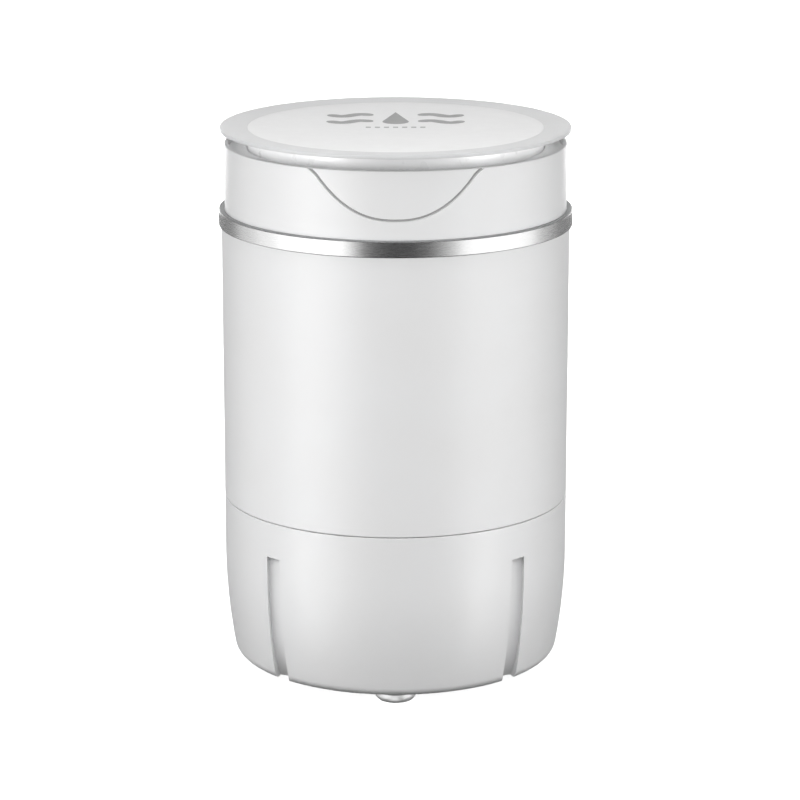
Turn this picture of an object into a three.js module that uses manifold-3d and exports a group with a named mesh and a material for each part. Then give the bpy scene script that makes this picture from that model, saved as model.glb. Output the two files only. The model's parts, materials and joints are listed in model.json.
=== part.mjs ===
// Portable mini washer: a round pulsator washer with a lift-off lid.
// Millimetres, +Z up, front towards -Y, origin on the floor below the middle of the tub.
import * as THREE from 'three';
import * as BufferGeometryUtils from 'three/addons/utils/BufferGeometryUtils.js';
import Module from 'manifold-3d';

const wasm = await Module();
wasm.setup();

// ---------- driving dimensions ----------
const GAP = 0.3; // between pieces that touch
const WALL = 3; // moulded casing walls
const ROUND = 36; // sides of a large round piece
const MEDIUM = 20; // sides of a pulley, motor or knob
const SMALL = 12; // sides of a small round piece
const TINY = 8; // sides of a screw or its hole

const BODY_R = 125; // straight body casing
const RING_R = 127; // metal trim ring
const COLLAR_R = 122.6; // collar above the ring
const NECK_R = 106; // tub neck, outside
const LID_R = 125.5; // lid plate

const PAD_Z = 7; // underside of the foot pads
const BASE_Z = 11; // flat underside of the base
const SEAM_Z = 131; // joint of base and body
const RING_Z = 330.5; // lower edge of the trim ring
const RING_TOP = 341.7;
const COLLAR_TOP = 389.6;
const LID_Z = 398.4; // underside of the lid plate
const LID_TOP = 401;

// base casing: its wall leans in below TAPER_Z on a large arc, and has a rounded bottom edge
const TAPER_Z = 90;
const TAPER_RADIUS = 420;
const EDGE_RADIUS = 6;
const COVER_SEAT_R = 103; // opening that the bottom cover sits in
const LEDGE_R = 92; // inner edge of the ledge that the cover is screwed to
const LEDGE_Z = 14.3;
const LEDGE_TOP = 18;
const SPIGOT_R = 121.2; // base and collar spigots inside the body
const SPIGOT_LENGTH = 8;
const BODY_INSIDE_R = SPIGOT_R + GAP;

// grooves down the base, at these angles from the front
const GROOVE_ANGLES = [45, 90, 135, -135, -90, -45];
const GROOVE_RADIUS = 8.3;
const GROOVE_TOP = 105.4;
const GROOVE_TOP_AXIS = 130.7; // distance of the groove's axis at its top
const GROOVE_LEAN = 0.103; // the axis leans in by this much for each mm down
const GROOVE_SKIN = 2.5;

// bell-shaped shallow recess at the front of the collar
const BELL_DEPTH = 1.3;
const BELL_Z = 355.6;
const BELL_HALF_WIDTH = 65.5; // along the curved surface
const BELL_POWER = 1.8;

// bottom cover, its pads, feet and vents
const COVER_R = COVER_SEAT_R - GAP;
const COVER_TOP = LEDGE_Z - GAP;
const PAD_INNER_R = 70;
const PAD_OUTER_R = 102;
const PAD_HALF_ANGLE = 18;
const FOOT_R = 14.6;
const FOOT_CENTRE_R = 87;
const FOOT_STEM_R = 4;
const COVER_SCREW_R = 97.3; // screws sit on this circle, between the pads
const VENT_WIDTH = 4;
const VENT_LENGTH = 26;

// tub
const TUB_WALL = 2.5;
const TUB_FLOOR = 155; // top of the recessed floor, below the pulsator
const TUB_RECESS_R = 75.5;
const TUB_SHELF_Z = 166; // top of the floor around the pulsator
const TUB_CORNER_Z = 178;
const FLOOR_WALL = 3;
const TUB_UNDER = TUB_FLOOR - FLOOR_WALL;
const TUB_IN = NECK_R - TUB_WALL;
const NECK_TOP = LID_Z - GAP;
const FLANGE_Z = 356;
const FLANGE_R = 118.9;
const LEDGE_INNER_R = 109.5; // collar ledge that carries the tub
const FLANGE_SCREW_R = 114;
const DECK_TOP = 386; // splash ring that closes the gap between tub and collar
const DECK_THICK = 2.5;

// drive
const SHAFT_R = 5;
const SHAFT_BORE = 5.3;
const SEAT_R = 11.3; // bearing and seal seat
const HOUSING_Z = 66;
const HOUSING_FLANGE_R = 36;
const HOUSING_SCREW_R = 28;
const PULSATOR_R = 73;
const PULSATOR_FINS = 5;
const BELT_Z = 50; // middle of the belt
const BELT_HALF_HEIGHT = 2.8;
const BELT_HALF_THICK = 1.7;
const DRIVEN_PITCH_R = 40;
const MOTOR_PITCH_R = 10; // a quarter of the driven pulley's, so the motor turns four times as fast
const MOTOR_Y = -64;
const MOTOR_R = 30;
const MOTOR_Z = 62;
const MOTOR_TOP = 120;
const MOTOR_SHAFT_R = 4;
const BRACKET_THICK = 3;
const POST_X = 38;

// rear service panel
const PANEL_HALF_WIDTH = 45;
const PANEL_Z = 28;
const PANEL_TOP = 118;
const PANEL_CORNER = 8;
const PANEL_FACE = 108; // y of the flat face that carries the fittings
const PANEL_BACK = PANEL_FACE - WALL;
const FITTINGS_Z = 48; // height of the drain outlet and the cord gland
const FITTINGS_X = 30;
const KNOB_Z = 88;
const KNOB_R = 17;
const DRAIN_Y = 81; // drain hole in the tub floor
const TUBE_IN = 4.5;
const TUBE_OUT = 6.5;
const HOSE_WALL = 2;
const OUTLET_END = 115;

// ---------- materials ----------
const paint = (color, roughness, metalness = 0, opacity = 1) =>
  new THREE.MeshStandardMaterial({ color, roughness, metalness, opacity, transparent: opacity < 1 });
const whitePlastic = paint(0xe8e9e9, 0.32);
const frosted = paint(0xe3e6e6, 0.4, 0, 0.75);
const brushedSteel = paint(0xc4c6c8, 0.28, 1);
const footGrey = paint(0xc9cbcd, 0.25, 0.4);
const greyPlastic = paint(0x9a9ea2, 0.5);
const darkPlastic = paint(0x33363a, 0.55);
const rubber = paint(0x55585c, 0.8);
const silicone = paint(0xd9dcde, 0.6);
const zincSteel = paint(0xa9acb0, 0.4, 0.9);
const castAluminium = paint(0x9da0a3, 0.55, 0.8);

// ---------- geometry helpers ----------
const radians = THREE.MathUtils.degToRad;

// A three.js geometry as a solid whose faces point outwards.
function solid(geometry) {
  const bare = new THREE.BufferGeometry();
  bare.setAttribute('position', geometry.getAttribute('position').clone());
  if (geometry.index) bare.setIndex(geometry.index.clone());
  const merged = BufferGeometryUtils.mergeVertices(bare, 1e-4);
  const points = merged.getAttribute('position').array;
  const corners = [];
  let volume = 0;
  for (let i = 0; i < merged.index.count; i += 3) {
    const [a, b, c] = [0, 1, 2].map((k) => merged.index.getX(i + k));
    if (a === b || b === c || c === a) continue;
    corners.push(a, b, c);
    const [p, q, r] = [a, b, c].map((v) => new THREE.Vector3().fromArray(points, v * 3));
    volume += p.dot(q.cross(r));
  }
  if (volume < 0) corners.reverse();
  const mesh = { numProp: 3, vertProperties: new Float32Array(points), triVerts: new Uint32Array(corners) };
  return new wasm.Manifold(new wasm.Mesh(mesh));
}

const join = (...solids) => solids.reduce((all, one) => all.add(one));
const cut = (stock, ...cutters) => cutters.reduce((left, one) => left.subtract(one), stock);

// Profiles are lists of [radius, height]. A profile off the axis is closed on itself.
function lathe(profile, sides) {
  const onAxis = profile[0][0] === 0 && profile[profile.length - 1][0] === 0;
  const line = onAxis ? profile : [...profile, profile[0]];
  return new THREE.LatheGeometry(line.map(([r, h]) => new THREE.Vector2(r, h)), sides);
}
const upright = (profile, sides = ROUND) => solid(lathe(profile, sides).rotateX(Math.PI / 2));
const rearward = (profile, sides = SMALL) => solid(lathe(profile, sides));
const rod = (r, low, high) => [[0, low], [r, low], [r, high], [0, high]];
const tube = (inner, outer, low, high) => [[inner, low], [outer, low], [outer, high], [inner, high]];
const at = (stock, x, y, z = 0) => stock.translate([x, y, z]);
const turned = (stock, degrees) => stock.rotate([0, 0, degrees]);
const onCircle = (radius, degrees) => [radius * Math.sin(radians(degrees)), -radius * Math.cos(radians(degrees))];

// Points of an arc about (r, z), angles in degrees from the outward direction.
function arc(r, z, radius, from, to, steps) {
  return Array.from({ length: steps + 1 }, (_, i) => {
    const angle = radians(from + ((to - from) * i) / steps);
    return [r + radius * Math.cos(angle), z + radius * Math.sin(angle)];
  });
}

// A flat outline in x and y, raised from low to high.
function raised(shape, low, high, curveSegments = 3) {
  const geometry = new THREE.ExtrudeGeometry(shape, { depth: high - low, bevelEnabled: false, curveSegments });
  return solid(geometry.translate(0, 0, low));
}

// A flat outline in x and z, extruded from one y to a larger one.
function extrudedRearward(shape, from, to) {
  const geometry = new THREE.ExtrudeGeometry(shape, { depth: to - from, bevelEnabled: false, curveSegments: 3 });
  return solid(geometry.rotateX(Math.PI / 2).translate(0, to, 0));
}

function roundedRectangle(left, right, low, high, corner) {
  const shape = new THREE.Shape();
  shape.absarc(right - corner, low + corner, corner, -Math.PI / 2, 0);
  shape.absarc(right - corner, high - corner, corner, 0, Math.PI / 2);
  shape.absarc(left + corner, high - corner, corner, Math.PI / 2, Math.PI);
  shape.absarc(left + corner, low + corner, corner, Math.PI, 1.5 * Math.PI);
  return shape;
}

// A pan-head screw standing on its head: the head's flat side is at z = 0 and the shank runs down.
const pocketHole = (r, depth) => upright(rod(r, -depth, 0.5), TINY);
function screw(headRadius, headHeight, shankRadius, length) {
  const profile = [
    [0, -length], [shankRadius, -length], [shankRadius, 0], [headRadius, 0],
    [0.8 * headRadius, headHeight], [0, headHeight],
  ];
  return upright(profile, TINY);
}
const upsideDown = (stock) => stock.rotate([180, 0, 0]);

const washer = new THREE.Group();
washer.name = 'portable_mini_washer';
function piece(name, stock, material) {
  const { vertProperties, triVerts, numProp } = stock.getMesh();
  const points = new Float32Array((vertProperties.length / numProp) * 3);
  for (let i = 0; i < points.length / 3; i += 1) {
    points.set(vertProperties.subarray(i * numProp, i * numProp + 3), i * 3);
  }
  const geometry = new THREE.BufferGeometry();
  geometry.setAttribute('position', new THREE.BufferAttribute(points, 3));
  geometry.setIndex(new THREE.BufferAttribute(new Uint32Array(triVerts), 1));
  geometry.computeVertexNormals();
  const mesh = new THREE.Mesh(geometry, material);
  mesh.name = name;
  washer.add(mesh);
}

// ---------- base casing ----------
const baseRadius = (z) => BODY_R - Math.max(0, TAPER_Z - z) ** 2 / (2 * TAPER_RADIUS);

function taper(low, high, inset, steps) {
  return Array.from({ length: steps + 1 }, (_, i) => {
    const z = low + ((high - low) * i) / steps;
    return [baseRadius(z) - inset, z];
  });
}

function baseOutline(inset = 0) {
  const edgeZ = BASE_Z + EDGE_RADIUS;
  const lean = THREE.MathUtils.radToDeg((TAPER_Z - edgeZ) / TAPER_RADIUS);
  const startZ = edgeZ - EDGE_RADIUS * Math.sin(radians(lean));
  const edgeR = baseRadius(startZ) - EDGE_RADIUS * Math.cos(radians(lean));
  return [
    [0, BASE_Z],
    ...arc(edgeR, edgeZ, EDGE_RADIUS, -90, -lean, 3),
    ...taper(startZ, TAPER_Z, 0, 4).slice(1),
    [BODY_R, SEAM_Z - 0.4],
  ].map(([r, z]) => [Math.max(0, r - inset), z]);
}

// A leaning rod along a groove, for the groove itself and for the skin behind it.
function grooveRod(radius, top, degrees) {
  const geometry = new THREE.CylinderGeometry(radius, radius, top, SMALL).rotateX(Math.PI / 2);
  const points = geometry.getAttribute('position');
  for (let i = 0; i < points.count; i += 1) {
    const z = points.getZ(i) + top / 2;
    const axis = GROOVE_TOP_AXIS - (GROOVE_TOP - z) * GROOVE_LEAN;
    points.setXYZ(i, points.getX(i), points.getY(i) - axis, z);
  }
  return turned(solid(geometry), degrees);
}

const panelShape = (grow) =>
  roundedRectangle(-PANEL_HALF_WIDTH - grow, PANEL_HALF_WIDTH + grow, PANEL_Z - grow, PANEL_TOP + grow, PANEL_CORNER + grow);

const shoulderZ = SEAM_Z - 0.4;
const spigotTop = SEAM_Z + SPIGOT_LENGTH;
const baseStock = upright([...baseOutline(), [SPIGOT_R, shoulderZ], [SPIGOT_R, spigotTop], [0, spigotTop]]);
const baseCavity = upright([
  [0, 0], [COVER_SEAT_R, 0], [COVER_SEAT_R, LEDGE_Z], [LEDGE_R, LEDGE_Z], [LEDGE_R, LEDGE_TOP],
  ...taper(LEDGE_TOP, TAPER_Z, WALL, 2),
  [BODY_R - WALL, SEAM_Z - 10], [SPIGOT_R - WALL, SEAM_Z - 3.5], [SPIGOT_R - WALL, spigotTop + 1], [0, spigotTop + 1],
]);
const grooveSkins = GROOVE_ANGLES.map((a) => grooveRod(GROOVE_RADIUS + GROOVE_SKIN, GROOVE_TOP + GROOVE_SKIN, a));
const grooves = GROOVE_ANGLES.map((a) => grooveRod(GROOVE_RADIUS, GROOVE_TOP, a));
const screwCircle = [45, 135, 225, 315];
const coverScrewHoles = screwCircle.map((a) => at(pocketHole(2.2, 30), ...onCircle(COVER_SCREW_R, a), LEDGE_TOP + 2));
piece(
  'base_shell',
  cut(
    baseStock,
    cut(baseCavity, ...grooveSkins),
    ...grooves,
    ...coverScrewHoles,
    extrudedRearward(panelShape(GAP), PANEL_BACK - 10, BODY_R + 5),
  ),
  whitePlastic,
);

// ---------- body casing, trim ring and collar ----------
const ringSeatR = BODY_R - 1.6;
piece(
  'body_shell',
  upright([
    [BODY_INSIDE_R, SEAM_Z + 0.4], [BODY_R, SEAM_Z + 0.4], [BODY_R, RING_Z - GAP],
    [ringSeatR, RING_Z - GAP], [ringSeatR, RING_TOP - GAP], [BODY_INSIDE_R, RING_TOP - GAP],
  ]),
  whitePlastic,
);
piece(
  'trim_ring',
  upright([
    [ringSeatR + GAP, RING_Z], [RING_R - 0.6, RING_Z], [RING_R, RING_Z + 0.6],
    [RING_R, RING_TOP - 0.6], [RING_R - 0.6, RING_TOP], [ringSeatR + GAP, RING_TOP],
  ]),
  brushedSteel,
);

const smoothStep = (t) => t * t * (3 - 2 * t);
const bellHeight = (s) =>
  BELL_Z + (COLLAR_TOP - BELL_Z) * smoothStep(Math.min(1, Math.abs(s) / BELL_HALF_WIDTH) ** BELL_POWER);

function bellCutter() {
  const steps = 20;
  const edge = Array.from({ length: steps + 1 }, (_, i) => {
    const s = BELL_HALF_WIDTH * ((2 * i) / steps - 1);
    return new THREE.Vector2(COLLAR_R * Math.sin(s / COLLAR_R), bellHeight(s));
  });
  const above = [BELL_HALF_WIDTH, -BELL_HALF_WIDTH].map((x) => new THREE.Vector2(x, COLLAR_TOP + 5));
  const window = extrudedRearward(new THREE.Shape([...edge, ...above]), -COLLAR_R - 5, -0.7 * COLLAR_R);
  return cut(window, upright(rod(COLLAR_R - BELL_DEPTH, 0, LID_TOP)));
}

const ledgeTop = FLANGE_Z - 2 * GAP - 2;
const collarStock = upright([
  [SPIGOT_R - WALL, RING_TOP - 20], [SPIGOT_R, RING_TOP - 20], [SPIGOT_R, RING_TOP], [COLLAR_R, RING_TOP],
  [COLLAR_R, COLLAR_TOP - 1], [COLLAR_R - 1, COLLAR_TOP], [COLLAR_R - WALL + 0.5, COLLAR_TOP],
  [COLLAR_R - WALL, COLLAR_TOP - 0.5], [COLLAR_R - WALL, ledgeTop], [LEDGE_INNER_R, ledgeTop],
  [LEDGE_INNER_R, ledgeTop - 4.5], [SPIGOT_R - WALL, ledgeTop - 8],
]);
const flangeScrewAt = (stock, angle, z) => at(stock, ...onCircle(FLANGE_SCREW_R, angle), z);
const flangeHoles = screwCircle.map((a) => flangeScrewAt(pocketHole(2.2, 20), a, FLANGE_Z + 5));
piece('collar', cut(collarStock, bellCutter(), ...flangeHoles), whitePlastic);

// ---------- bottom cover, feet and screws ----------
function arcPad(degrees) {
  const half = radians(PAD_HALF_ANGLE);
  const shape = new THREE.Shape();
  shape.absarc(0, 0, PAD_OUTER_R, -Math.PI / 2 - half, -Math.PI / 2 + half);
  shape.absarc(0, 0, PAD_INNER_R, -Math.PI / 2 + half, -Math.PI / 2 - half, true);
  return turned(raised(shape, PAD_Z, BASE_Z + 1), degrees);
}

function vent(radius, degrees) {
  const slot = roundedRectangle(-VENT_LENGTH / 2, VENT_LENGTH / 2, -VENT_WIDTH / 2, VENT_WIDTH / 2, VENT_WIDTH / 2 - 0.1);
  return turned(at(raised(slot, 0, 20, 1), 0, -radius), degrees);
}

const FOOT_ANGLES = { front: 0, right: 90, back: 180, left: 270 };
const footAngles = Object.values(FOOT_ANGLES);
const ventRows = [50, 60, 70];
piece(
  'bottom_cover',
  cut(
    join(upright(rod(COVER_R, BASE_Z, COVER_TOP)), ...footAngles.map(arcPad)),
    ...footAngles.map((a) => at(upright(rod(FOOT_STEM_R + GAP, 0, 20), SMALL), ...onCircle(FOOT_CENTRE_R, a))),
    ...screwCircle.map((a) => at(pocketHole(2.2, 10), ...onCircle(COVER_SCREW_R, a), COVER_TOP + 1)),
    ...screwCircle.flatMap((a) => ventRows.map((r) => vent(r, a))),
  ),
  whitePlastic,
);
for (const [side, angle] of Object.entries(FOOT_ANGLES)) {
  const profile = [
    [0, 0], [FOOT_R - 2, 0], [FOOT_R - 0.6, 0.7], [FOOT_R, 2.2], [FOOT_R, PAD_Z - GAP],
    [FOOT_STEM_R, PAD_Z - GAP], [FOOT_STEM_R, BASE_Z + 1], [0, BASE_Z + 1],
  ];
  piece(`foot_${side}`, at(upright(profile, SMALL), ...onCircle(FOOT_CENTRE_R, angle)), footGrey);
}
screwCircle.forEach((angle, i) => {
  const place = onCircle(COVER_SCREW_R, angle);
  piece(`cover_screw_${i + 1}`, at(upsideDown(screw(4, 2.2, 1.9, 6.5)), ...place, BASE_Z - GAP), zincSteel);
});

// ---------- wash tub ----------
const shelfUnder = TUB_SHELF_Z - FLOOR_WALL;
const tubStock = upright([
  [12.3, TUB_UNDER], [TUB_RECESS_R + 3, TUB_UNDER], [TUB_RECESS_R + 5, shelfUnder],
  [TUB_IN - 9, shelfUnder + 2], [NECK_R - 1.5, TUB_CORNER_Z - 5], [NECK_R, TUB_CORNER_Z],
  [NECK_R, FLANGE_Z], [FLANGE_R, FLANGE_Z], [FLANGE_R, FLANGE_Z + 3], [NECK_R, FLANGE_Z + 3],
  [NECK_R, NECK_TOP - 1], [NECK_R - 1, NECK_TOP], [TUB_IN, NECK_TOP],
  [TUB_IN, TUB_CORNER_Z], [TUB_IN - 3, TUB_CORNER_Z - 7], [TUB_IN - 10, TUB_SHELF_Z + 2],
  [TUB_RECESS_R + 2, TUB_SHELF_Z], [TUB_RECESS_R, TUB_FLOOR], [12.3, TUB_FLOOR],
]);
const drainSpigot = at(upright(rod(TUBE_OUT, TUB_UNDER - 16, TUB_SHELF_Z - 0.5), SMALL), -FITTINGS_X, DRAIN_Y);
const drainHole = at(upright(rod(TUBE_IN, 130, 180), SMALL), -FITTINGS_X, DRAIN_Y);
const bracketTop = MOTOR_TOP + GAP + BRACKET_THICK;
const posts = [-POST_X, POST_X].map((x) => at(upright(rod(6, bracketTop + GAP, TUB_UNDER + 1), TINY), x, MOTOR_Y));
const postHoles = [-POST_X, POST_X].map((x) => at(pocketHole(2.2, 14), x, MOTOR_Y, bracketTop + 12));
const housingScrews = [60, 180, 300];
const housingScrewAt = (stock, angle, z) => at(stock, ...onCircle(HOUSING_SCREW_R, angle), z);
const housingHoles = housingScrews.map((a) => housingScrewAt(pocketHole(2.2, 12), a, TUB_FLOOR - 1.5));
piece(
  'wash_tub',
  cut(join(tubStock, drainSpigot, ...posts), drainHole, ...postHoles, ...housingHoles, ...flangeHoles),
  whitePlastic,
);
const gasketStock = upright(tube(LEDGE_INNER_R + 0.5, FLANGE_R - 0.4, ledgeTop + GAP, FLANGE_Z - GAP));
piece('tub_gasket', cut(gasketStock, ...flangeHoles), rubber);
screwCircle.forEach((angle, i) => {
  piece(`tub_screw_${i + 1}`, flangeScrewAt(screw(4, 2.2, 1.9, 11), angle, FLANGE_Z + 3 + GAP), zincSteel);
});
const deckInner = NECK_R + GAP;
const deckFoot = FLANGE_Z + 3 + GAP;
piece(
  'deck_ring',
  upright([
    [deckInner, deckFoot], [deckInner + 2, deckFoot], [deckInner + 2, DECK_TOP - DECK_THICK],
    [COLLAR_R - WALL - GAP, DECK_TOP - DECK_THICK], [COLLAR_R - WALL - GAP, DECK_TOP], [deckInner, DECK_TOP],
  ]),
  whitePlastic,
);

// ---------- lid ----------
const panelR = NECK_R - 0.3; // opaque middle of the lid
const panelBossR = 91.5;
const seatZ = LID_Z + 1.3;
piece(
  'lid_plate',
  upright([
    [panelBossR + GAP, LID_Z], [LID_R - 0.8, LID_Z], [LID_R, LID_Z + 0.8], [LID_R, LID_TOP - 0.8],
    [LID_R - 0.8, LID_TOP], [panelR + 0.9, LID_TOP], [panelR + GAP, seatZ], [panelBossR + GAP, seatZ],
  ]),
  frosted,
);
piece(
  'lid_panel',
  upright([
    [0, LID_Z - 2], [panelBossR, LID_Z - 2], [panelBossR, seatZ + GAP], [panelR, seatZ + GAP],
    [panelR, LID_TOP - 0.3], [panelR - 8, LID_TOP - 0.8], [50, LID_TOP - 1.4], [0, LID_TOP - 1.6],
  ]),
  whitePlastic,
);
piece(
  'lid_plug',
  upright([
    [97.5, LID_Z - 14.4], [101, LID_Z - 14.4], [101, LID_Z - GAP], [panelBossR + 1.5, LID_Z - GAP],
    [panelBossR + 1.5, LID_Z - 2.8], [97.5, LID_Z - 2.8],
  ]),
  frosted,
);
piece(
  'lid_seal',
  upright([
    [101.3, LID_Z - 10.4], [102.2, LID_Z - 10.4], [TUB_IN - GAP, LID_Z - 8.8], [TUB_IN - GAP, LID_Z - 6.4],
    [102.2, LID_Z - 4.8], [101.3, LID_Z - 4.8],
  ]),
  silicone,
);

// ---------- pulsator and its shaft ----------
const hubTop = 182;
function pulsatorFin(degrees) {
  const outline = [[13, 162], [PULSATOR_R - 4, 163.5], [PULSATOR_R - 5, 169], [40, 175], [13, 180]];
  const shape = new THREE.Shape(outline.map(([r, z]) => new THREE.Vector2(r, z)));
  return turned(extrudedRearward(shape, -3, 3), degrees);
}
const pulsatorStock = upright([
  [2.3, 174], [SHAFT_R + GAP, 174], [SHAFT_R + GAP, 158.5], [14, 158.5], [16, 160], [PULSATOR_R - 3, 160],
  [PULSATOR_R, 162.5], [PULSATOR_R, 165], [50, 164], [22, 167], [15, 179], [12, hubTop], [2.3, hubTop],
], MEDIUM);
const fins = Array.from({ length: PULSATOR_FINS }, (_, i) => pulsatorFin((360 / PULSATOR_FINS) * i - 90));
const shaftSocket = upright(rod(SHAFT_R + GAP, 150, 174));
piece('pulsator', cut(join(pulsatorStock, ...fins), shaftSocket, upright(rod(2.3, 170, 190), TINY)), whitePlastic);
piece('pulsator_screw', at(screw(6, 3, 2, 14), 0, 0, hubTop + GAP), zincSteel);

const shaftTop = 174 - GAP;
piece('drive_shaft', cut(upright(rod(SHAFT_R, 33, shaftTop), SMALL), at(pocketHole(2.3, 9), 0, 0, shaftTop)), zincSteel);
piece(
  'shaft_seal',
  upright([[SHAFT_BORE, 143], [11, 143], [11, 155.3], [13.6, 155.3], [12, 157.4], [SHAFT_BORE, 157.8]], SMALL),
  rubber,
);
const bearing = (low) => upright(tube(SHAFT_BORE, SEAT_R - GAP, low, low + 8), SMALL);
piece('bearing_upper', bearing(133.5), zincSteel);
piece('bearing_lower', bearing(HOUSING_Z + 1), zincSteel);
const housingFlange = TUB_UNDER - GAP;
const housingStock = upright([
  [SEAT_R, HOUSING_Z], [16, HOUSING_Z], [16, 130], [18, housingFlange - 4], [HOUSING_FLANGE_R, housingFlange - 4],
  [HOUSING_FLANGE_R, housingFlange], [SEAT_R, housingFlange], [SEAT_R, 133], [8, 133], [8, HOUSING_Z + 11], [SEAT_R, HOUSING_Z + 11],
], SMALL);
piece('bearing_housing', cut(housingStock, ...housingHoles), castAluminium);
housingScrews.forEach((angle, i) => {
  const below = upsideDown(screw(4, 2.2, 1.9, 5.6));
  piece(`housing_screw_${i + 1}`, housingScrewAt(below, angle, housingFlange - 4 - GAP), zincSteel);
});

// ---------- belt drive and motor ----------
function pulleyProfile(pitch, bore, hubRadius, webRadius, hubLow, hubHigh) {
  const rim = pitch + 2;
  const root = pitch - 2;
  return [
    [bore, hubLow], [hubRadius, hubLow], [hubRadius, BELT_Z - 2.5], [webRadius, BELT_Z - 2.5], [webRadius, BELT_Z - 6],
    [rim, BELT_Z - 6], [rim, BELT_Z - 4], [root, BELT_Z - 3.2], [root, BELT_Z + 3.2], [rim, BELT_Z + 4], [rim, BELT_Z + 6],
    [webRadius, BELT_Z + 6], [webRadius, BELT_Z + 2.5], [hubRadius, BELT_Z + 2.5], [hubRadius, hubHigh], [bore, hubHigh],
  ];
}
piece('driven_pulley', upright(pulleyProfile(DRIVEN_PITCH_R, SHAFT_R + GAP, 12, 35, 40, 60), MEDIUM), greyPlastic);
piece('pulley_nut', cut(upright(rod(8.5, 34.5, 39.7), 6), upright(rod(SHAFT_R + GAP, 30, 50), SMALL)), zincSteel);
const motorPulley = [
  [4.3, 42], [12, 42], [12, BELT_Z - 4], [8, BELT_Z - 3.2], [8, BELT_Z + 3.2], [12, BELT_Z + 4], [12, 57], [4.3, 57],
];
piece('motor_pulley', at(upright(motorPulley, SMALL), 0, MOTOR_Y), greyPlastic);

// The belt's edge at a distance from its middle line: two arcs joined by their tangents.
function beltLoop(offset) {
  const lean = Math.asin((DRIVEN_PITCH_R - MOTOR_PITCH_R) / -MOTOR_Y);
  const shape = new THREE.Shape();
  shape.absarc(0, MOTOR_Y, MOTOR_PITCH_R + offset, Math.PI + lean, 2 * Math.PI - lean);
  shape.absarc(0, 0, DRIVEN_PITCH_R + offset, -lean, Math.PI + lean);
  return shape;
}
function beltSolid() {
  const side = (offset, margin) => {
    const depth = 2 * (BELT_HALF_HEIGHT + margin);
    const geometry = new THREE.ExtrudeGeometry(beltLoop(offset), { depth, bevelEnabled: false, curveSegments: 12 });
    return solid(geometry.translate(0, 0, BELT_Z - depth / 2));
  };
  return cut(side(BELT_HALF_THICK, 0), side(-BELT_HALF_THICK, 1));
}
piece('drive_belt', beltSolid(), rubber);

piece('motor_shaft', at(upright(rod(MOTOR_SHAFT_R, 40, 90), SMALL), 0, MOTOR_Y), zincSteel);
const motorScrewsX = [-18, 18];
const motorStock = at(upright([
  [0, 92], [4.3, 92], [4.3, MOTOR_Z], [10, MOTOR_Z], [10, MOTOR_Z + 3], [MOTOR_R - 3, MOTOR_Z + 3], [MOTOR_R, MOTOR_Z + 6],
  [MOTOR_R, MOTOR_TOP - 3], [MOTOR_R - 3, MOTOR_TOP], [0, MOTOR_TOP],
], MEDIUM), 0, MOTOR_Y);
const motorHoles = motorScrewsX.map((x) => at(pocketHole(2.2, 14), x, MOTOR_Y, bracketTop + 1));
piece('motor_body', cut(motorStock, ...motorHoles), castAluminium);
const bracketShape = roundedRectangle(-POST_X - 9, POST_X + 9, MOTOR_Y - 20, MOTOR_Y + 20, 9);
const bracketHoles = [-POST_X, POST_X].map((x) => at(pocketHole(2.2, 8), x, MOTOR_Y, bracketTop + 1));
piece('motor_bracket', cut(raised(bracketShape, MOTOR_TOP + GAP, bracketTop), ...motorHoles, ...bracketHoles), zincSteel);
motorScrewsX.forEach((x, i) => {
  piece(`motor_screw_${i + 1}`, at(screw(4, 2.2, 1.9, 12), x, MOTOR_Y, bracketTop + GAP), zincSteel);
});
[-POST_X, POST_X].forEach((x, i) => {
  const below = upsideDown(screw(4, 2.2, 1.9, 13));
  piece(`bracket_screw_${i + 1}`, at(below, x, MOTOR_Y, MOTOR_TOP), zincSteel);
});
piece('run_capacitor', at(upright(rod(12, COVER_TOP + GAP, 54), SMALL), 60, 22), darkPlastic);

// ---------- rear panel and its fittings ----------
const outsideBase = upright([...baseOutline(), [0, SEAM_Z - 0.4]]);
const panelTray = cut(
  extrudedRearward(panelShape(0), PANEL_BACK, BODY_R + 5),
  extrudedRearward(panelShape(-WALL), PANEL_FACE, BODY_R + 10),
);
const fittingHoles = [
  at(rearward(rod(4, 90, 120)), 0, 0, KNOB_Z),
  at(rearward(rod(TUBE_OUT + GAP, 90, 120)), -FITTINGS_X, 0, FITTINGS_Z),
  at(rearward(rod(7 + GAP, 90, 120)), FITTINGS_X, 0, FITTINGS_Z),
];
piece('rear_panel', cut(panelTray.intersect(outsideBase), ...fittingHoles), greyPlastic);

const timerBox = roundedRectangle(-15, 15, KNOB_Z - 15, KNOB_Z + 15, 2);
const timerBore = at(rearward(rod(3 + GAP, 94, 120)), 0, 0, KNOB_Z);
piece('timer_body', cut(extrudedRearward(timerBox, PANEL_BACK - 24, PANEL_BACK - GAP), timerBore), darkPlastic);
piece('timer_shaft', at(rearward(rod(3, 94 + GAP, 117.7)), 0, 0, KNOB_Z), zincSteel);
const knobSkirt = rearward([
  [0, 118], [3.3, 118], [3.3, PANEL_FACE + GAP], [KNOB_R, PANEL_FACE + GAP], [KNOB_R, PANEL_FACE + 3],
  [KNOB_R - 4, PANEL_FACE + 6], [KNOB_R - 4, 120.5], [0, 120.5],
], MEDIUM);
const knobGrip = extrudedRearward(roundedRectangle(-3.5, 3.5, -KNOB_R + 0.5, KNOB_R - 0.5, 3), PANEL_FACE + 2, 122.5);
const knobBore = rearward(rod(3 + GAP, 100, 118));
piece('timer_knob', at(cut(join(knobSkirt, knobGrip), knobBore), 0, 0, KNOB_Z), whitePlastic);

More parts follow.
